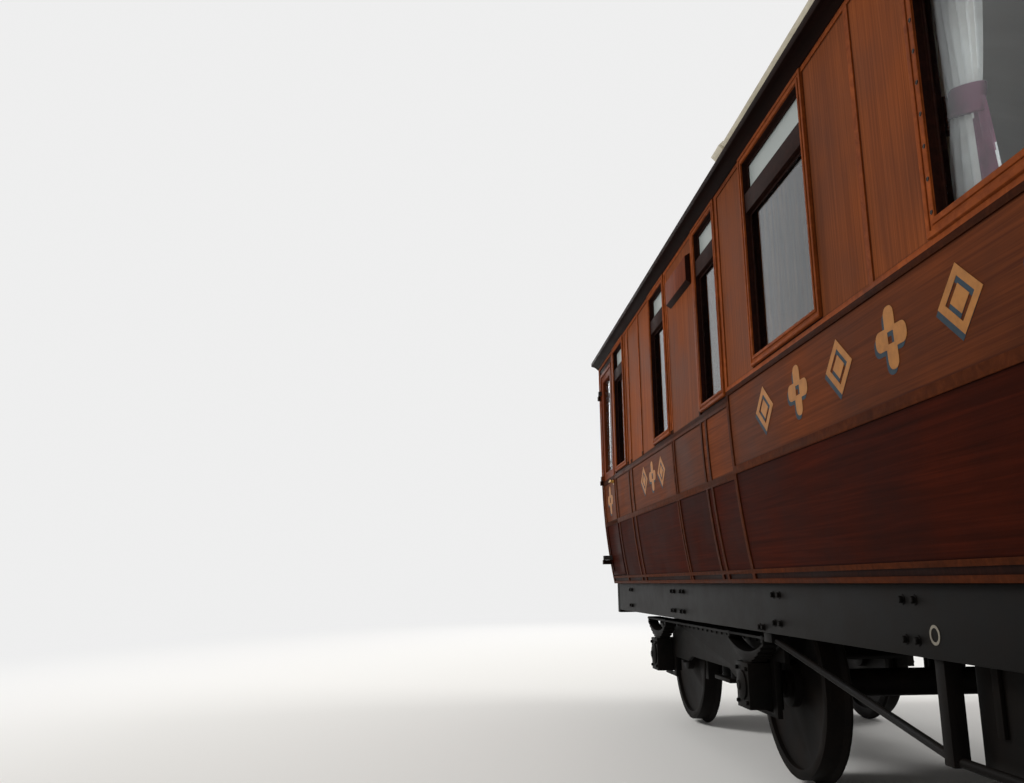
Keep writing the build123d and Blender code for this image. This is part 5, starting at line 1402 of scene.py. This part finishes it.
@dataclass
class Underframe:
    """Frame members, their bolts, hung boxes, buffers and couplings."""

    solebar_y: float = 1.175
    joints_x: tuple[float, ...] = (0.0, 1.62, 3.0, 4.965, 5.245, 6.9)
    joint_half: float = 0.045
    bolt_rows: Span = (0.950, 1.090)
    truss_bolts_x: Span = (3.22, 3.28)
    truss_bolt_z: float = 0.920
    box_y: float = 1.035
    box_panel: float = 0.050
    box_sink: float = 0.008
    strap_pitch: float = 0.450
    box_starts: tuple[float, ...] = (0.750, -0.750, 0.040, -1.460)
    mark_x: float = 1.46
    mark_z: float = 0.975
    mark_radius: float = 0.034
    mark_line: float = 0.010
    paint: float = 0.0012

    def bolts(self) -> None:
        """Set a pattern of hexagon bolts on both solebars at each cross member and truss end."""
        bolt = turned("solebar_bolts", ((-0.001, 0.019), (0.003, 0.019), (0.003, 0.013),
                                        (0.014, 0.013), (0.017, 0.010)), 6)
        spots = [(x + dx, z) for x in self.joints_x for dx in (-self.joint_half, self.joint_half)
                 for z in self.bolt_rows] + [(x, self.truss_bolt_z) for x in self.truss_bolts_x]
        quarter = repeated("solebar_bolts", bolt,
                           [at(x, self.solebar_y, z) @ FACE_OUT for x, z in spots])
        set_out("solebar_bolts", quarter, FOUR_CORNERS, BLACK_IRON, degrees=0)

    def box_doors(self) -> None:
        """Model the hinged doors on the battery boxes' outer faces, with hasps and straps."""
        y = self.box_y
        lid = block("battery_doors", (-0.700, y, 0.540), (-0.010, y + 0.018, 0.925), 0.004)
        with editing(lid, "FACE", lambda f: f.normal.y > 0.99):
            bpy.ops.mesh.inset(thickness=self.box_panel)
            bpy.ops.transform.translate(value=(0, -self.box_sink, 0))
        strap = block("strap", (-0.600, y + 0.010, 0.660), (-0.560, y + 0.026, 0.960), 0.003)
        hasp = block("hasp", (-0.372, y + 0.010, 0.560), (-0.338, y + 0.032, 0.640), 0.004)
        second = twin_of(strap, "strap", at(self.strap_pitch, 0, 0))
        door = joined("battery_doors", (lid, strap, second, hasp))
        row = repeated("battery_doors", door, [at(0.710 + x, 0, 0) for x in self.box_starts])
        set_out("battery_doors", row, MIRRORED_PAIR, BLACK_IRON)

    def marks(self) -> None:
        """Paint a small ring on each solebar as a thin raised figure."""
        bpy.ops.mesh.primitive_circle_add(vertices=24, radius=self.mark_radius,
                                          fill_type="NGON")
        mark = settled("spring_marks")
        with editing(mark):
            bpy.ops.mesh.inset(thickness=self.mark_line)
            bpy.ops.mesh.delete(type="FACE")
        modified(mark, "SOLIDIFY", thickness=self.paint, offset=1)
        moved(mark, at(self.mark_x, self.solebar_y + self.paint / 3, self.mark_z) @ FACE_OUT)
        set_out("spring_marks", mark, TURNED_PAIR, PALE_PAINT, degrees=0)

    def build(self) -> None:
        """Dress the frame and all that hangs on it."""
        for node, name, bevel in (
            ("solebars", "rolled_solebars", 0.004),
            ("crossbars", "cross_members", 0.004),
            ("body_bolsters", "body_bolster_beams", 0.004),
            ("longitudinals", "long_members", 0.004),
            ("headstocks", "headstock_beams", 0.005),
            ("truss_rods", "trussing", 0.004),
            ("battery_boxes", "battery_cases", 0.008),
            ("brake_cylinders", "vacuum_cylinders", 0.012),
        ):
            stand_in(node, name, bevel, BLACK_IRON)
        stand_in("buffers", "turned_buffers", 0.004, BUFFER_STEEL)
        stand_in("drawgear", "screw_couplings", 0.004, BLACK_IRON)
        self.bolts()
        self.box_doors()
        self.marks()


@dataclass
class Bogies:
    """Bogie frames, axleboxes and wheels, with bolts and lids."""

    pivot_x: float = 5.105
    axle: float = 1.219
    axle_z: float = 0.561
    lid_y: float = 1.105
    bolt_square: Span = (0.085, 0.095)
    rivet_y: float = 0.970
    rivet_z: float = 0.812
    rivet_pitch: float = 0.125
    rivets_each_way: int = 12

    def on_plates(self, name: str, model: Piece, spots: Iterable[Point], body: str) -> None:
        """Repeat a fitting on both side plates of one bogie.

        Args:
            name: what the fittings are called after the bogie's name.
            model: the fitting, facing +Z; it is used up.
            spots: its places on the left plate.
            body: the bogie.
        """
        left = [at(*spot) @ FACE_OUT for spot in spots]
        places = [turn @ place for place in left for turn in MIRRORED_PAIR]
        set_out(f"{body}_{name}", model, places, BLACK_IRON, body)

    def fittings(self, middle_x: float, body: str) -> None:
        """Model each axlebox's round bolted lid, and rows of round rivets, for one bogie."""
        lid = turned("axlebox_lid", ((0, 0.085), (0.010, 0.085), (0.016, 0.070), (0.022, 0.030),
                                     (0.030, 0.024)))
        bolt = turned("lid_bolt", ((0, 0.012), (0.012, 0.012), (0.015, 0.009)), 6)
        across, up = self.bolt_square
        corners = [at(x, y, 0) for x in (-across, across) for y in (-up, up)]
        lid = joined("axlebox_lid", (lid, repeated("lid_bolts", bolt, corners)))
        self.on_plates("lids", lid, [(middle_x + x, self.lid_y, self.axle_z)
                                     for x in (-self.axle, self.axle)], body)
        rivet = turned("rivets", ((0, 0.012), (0.005, 0.011), (0.009, 0.006)), 10)
        count = self.rivets_each_way
        self.on_plates("rivets", rivet, [
            (middle_x + i * self.rivet_pitch, self.rivet_y, self.rivet_z)
            for i in range(-count, count + 1)], body)

    def build(self) -> None:
        """Dress both bogies and the four wheelsets."""
        for body, middle_x in (("bogie_a", -self.pivot_x), ("bogie_b", self.pivot_x)):
            for part in ("frame", "bolster", "axleboxes"):
                stand_in(f"{body}_{part}", f"{body}_{part}_eased", 0.003, BLACK_IRON,
                         body)
            self.fittings(middle_x, body)
        for number in range(1, 5):
            node = f"wheelset_{number}"
            stand_in(node, f"{node}_turned", 0.003, WHEEL_IRON, node)


@dataclass
class Saloon:
    """Partitions, floor, chairs, tables and lamps."""

    seat_x: tuple[float, ...] = (0.690, 1.690, 2.930)
    facing: tuple[int, ...] = (-1, 1, -1)
    seat_y: float = 0.860
    seat_low: float = BODY.floor_top + 0.270
    seat_size: tuple[float, ...] = (0.500, 0.436, 0.150)
    rest_size: tuple[float, ...] = (0.118, 0.436, 0.640)
    rest_back: float = 0.189
    swell: float = 0.014
    lift: float = 0.004
    edge: float = 0.018
    pressure: float = 4.0
    fill_frames: int = 20
    voxel: float = 0.022
    table_top: float = BODY.floor_top + 0.720
    table_x: tuple[float, ...] = (0.190, 2.500, -2.500)
    table_y: float = 1.0
    pillar_x: float = 1.190
    pillar_y: float = 1.080

    def chairs(self) -> Iterator[tuple[float, float, int]]:
        """Yield the centre along X and Y and the facing of every chair."""
        for x, face in zip(self.seat_x, self.facing):
            for end in (1, -1):
                for side in (1, -1):
                    yield end * x, side * self.seat_y, end * face

    def cushion(self, name: str, size: Point) -> Piece:
        """Fill one cushion by cloth simulation, on the floor of its own space.

        Args:
            name: the piece's name.
            size: the space that it fills, along X, Y and Z.

        Returns:
            The filled cushion, its space centred on the origin in plan.
        """
        give = self.swell
        piece = block(name, (give - size[0] / 2, give - size[1] / 2, self.lift),
                      (size[0] / 2 - give, size[1] / 2 - give, size[2] - give), self.edge)
        modified(piece, "REMESH", mode="VOXEL", voxel_size=self.voxel)
        start = [v.co.copy() for v in piece.data.vertices]
        cloth = piece.modifiers.new("stuffing", "CLOTH")
        cloth.settings.quality = 5
        cloth.settings.use_pressure = True
        cloth.settings.uniform_pressure_force = self.pressure
        cloth.settings.effector_weights.gravity = 0.0
        for frame_number in range(1, self.fill_frames + 1):
            bpy.context.scene.frame_set(frame_number)
        pick(piece)
        bpy.ops.object.modifier_apply(modifier="stuffing")
        bpy.context.scene.frame_set(1)
        for point, first in zip(piece.data.vertices, start):
            step = point.co - first
            if step.length > give:
                point.co = first + step * (give / step.length)
            point.co.z = max(point.co.z, self.lift / 2)
        return modified(piece, "SUBSURF", levels=1, render_levels=1)

    def upholster(self) -> None:
        """Put a seat and a back cushion on every chair, each filled once and copied."""
        seat = self.cushion("seat_model", self.seat_size)
        rest = self.cushion("rest_model", self.rest_size)
        low = self.seat_low
        for number, (x, y, face) in enumerate(self.chairs(), 1):
            for label, model, place in (
                ("seat", seat, at(x, y, low)),
                ("back", rest, at(x - face * self.rest_back, y, low + self.seat_size[2])),
            ):
                turn = HERE if face > 0 else HALF_TURN
                pad = twin_of(model, f"{label}_cushion_{number}", place @ turn)
                finished(smooth(pad, 60.0), MOQUETTE, nodes=("seat_cushions",))
        for model in (seat, rest):
            bpy.data.objects.remove(model)

    def lamps(self) -> None:
        """Model a turned brass table lamp with a silk shade, and a pillar lamp for the bays."""
        tables = [at(x, side * self.table_y, self.table_top)
                  for x in self.table_x for side in (1, -1)]
        bays = [at(end * self.pillar_x, side * self.pillar_y, BODY.floor_top)
                for end in (1, -1) for side in (1, -1)]
        for name, places, finish, slot, nodes, sides, stations in (
            ("lamp_stands", tables, BRASS, "brass", ("table_lamps",), 20, (
                (0.0, 0.054), (0.010, 0.054), (0.018, 0.030), (0.040, 0.014), (0.110, 0.017),
                (0.150, 0.012), (0.205, 0.010))),
            ("lamp_shades", tables, SHADE_CLOTH, "curtain", ("table_lamps",), 28, (
                (0.200, 0.094), (0.235, 0.088), (0.290, 0.074), (0.328, 0.060))),
            ("pillar_lamps", bays, IVORY, "brass", (), 20, (
                (0.0, 0.085), (0.020, 0.085), (0.045, 0.040), (0.120, 0.026), (0.800, 0.024),
                (1.380, 0.021))),
            ("pillar_caps", bays, LAMP_BLACK, "brass", (), 20, (
                (1.380, 0.021), (1.390, 0.050), (1.405, 0.052), (1.420, 0.036), (1.500, 0.044),
                (1.530, 0.030))),
        ):
            set_out(name, turned(name, stations, sides), places, finish, nodes=nodes)

    def build(self) -> None:
        """Furnish the inside."""
        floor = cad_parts["floor"].data.materials
        floor.clear()
        floor.append(FLOOR_CLOTH.material())
        stand_in("partitions", "panelled_partitions", 0.004, INNER_OAK)
        stand_in("seat_frames", "chair_frames", 0.008, INNER_OAK)
        stand_in("tables", "dining_tables", 0.005, INNER_OAK)
        stand_in("curtain_rods", "brass_curtain_rods", 0.001, BRASS)
        self.upholster()
        self.lamps()


@dataclass
class Curtains:
    """Gathered cotton curtains with mauve tie-backs, at each side of some windows."""

    top: float = 3.286
    tie: float = 2.650
    foot: float = 2.160
    middle_y: float = 1.175
    fold_depth: float = 0.017
    folds: int = 6
    rows: int = 44
    fullness: float = 1.35
    # Share of its full width that a curtain has at the rod and sill, and how fast it widens to it
    spread: float = 0.96
    flare: float = 0.75
    # Half the tie-back's length as a share of the cloth it holds, half its depth, and its slope
    band_share: float = 0.58
    band_depth: float = 0.0265
    band_slope_deg: float = 20.0
    # Centre along X, width at the top, how far it is drawn aside towards larger |x|, and
    # its narrowest share of that width
    hung: tuple[tuple[float, ...], ...] = ((0.905, 0.340, 0.1, 0.52), (6.360, 0.200, -1.0, 0.34))

    def width_at(self, z: float, width: float, neck: float) -> Span:
        """Gathered width at a height, and how full the folds are there."""
        span = self.top - self.tie if z >= self.tie else self.tie - self.foot
        share = abs(z - self.tie) / span
        return width * (neck + (self.spread - neck) * share**self.flare), 0.50 + 0.50 * share

    def sheet(self, name: str, x: float, width: float, outward: float, neck: float) -> Piece:
        """Model one curtain as a pleated sheet that narrows at its tie.

        Args:
            name: the piece's name.
            x: the middle of the curtain.
            width: its gathered width at the rod.
            outward: from -1 to 1 along X, how far it is drawn aside.
            neck: its narrowest share of that width.

        Returns:
            The open sheet of cloth.
        """
        bpy.ops.mesh.primitive_grid_add(x_subdivisions=self.folds * 8, y_subdivisions=self.rows,
                                        size=1)
        piece = settled(name)
        for point in piece.data.vertices:
            across, up = point.co.x, point.co.y + 0.5
            z = self.foot + up * (self.top - self.foot)
            wide, full = self.width_at(z, width, neck)
            slack = 0.5 * width - wide / 2
            wave = math.sin(across * self.folds * math.tau + 0.9 * math.sin(up * 5 + x))
            second = math.sin(across * self.folds * math.tau * 2.3 + 2.1 + x)
            depth = self.fold_depth * full * (0.85 * wave + 0.22 * second)
            point.co = (x + outward * slack + across * wide, self.middle_y + depth, z)
        return piece

    def tie_back(self, name: str, x: float, width: float, outward: float, neck: float) -> Piece:
        """Model the wide band round the curtain at its tie, rising towards the jamb."""
        wide = width * neck
        centre = x + outward * (0.5 * width - wide / 2)
        band = turned(name, ((-0.045, 0.95), (-0.040, 1.02), (-0.015, 0.98), (0.012, 1.03),
                             (0.040, 1.0), (0.046, 0.93)), 28)
        sizes = Matrix.Diagonal((wide * self.band_share, self.band_depth, 1, 1))
        tilt = Matrix.Rotation(math.copysign(math.radians(self.band_slope_deg), -x), 4, "Y")
        return moved(band, at(centre, self.middle_y, self.tie) @ tilt @ sizes)

    def build(self) -> None:
        """Hang the curtains of both sides, as pleated sheets."""
        for node, place in (("curtains_left", HERE), ("curtains_right", MIRROR_Y)):
            for x, width, drawn, neck in self.hung:
                for end, letter in ((1, "b"), (-1, "a")):
                    label = f"{node}_{letter}_{int(x * 100)}"
                    cloth, band = (
                        moved(model(name, end * x, width, end * drawn, neck), place)
                        for model, name in ((self.sheet, label), (self.tie_back, label + "_tie")))
                    finished(smooth(cloth, 80.0), CURTAIN_CLOTH, nodes=(node,))
                    partly(cloth, MAUVE_CLOTH, lambda f: f.center.z < self.tie
                           and -0.35 < (abs(f.center.x) - x) / width < -0.08)
                    finished(smooth(band, 60.0), MAUVE_CLOTH)


def main() -> None:
    """Build the studio and dress the coach, one sub-assembly after the other."""
    logging.basicConfig(level=logging.INFO, format="%(name)s: %(message)s")
    for trade in (Studio(), SidePanels(), Mouldings(), Glazier(), Gilding(), Roofer(), Ends(),
                  Doors(), Underframe(), Bogies(), Saloon(), Curtains()):
        LOG.info("building %s", type(trade).__name__)
        trade.build()


if __name__ == "__main__":
    main()
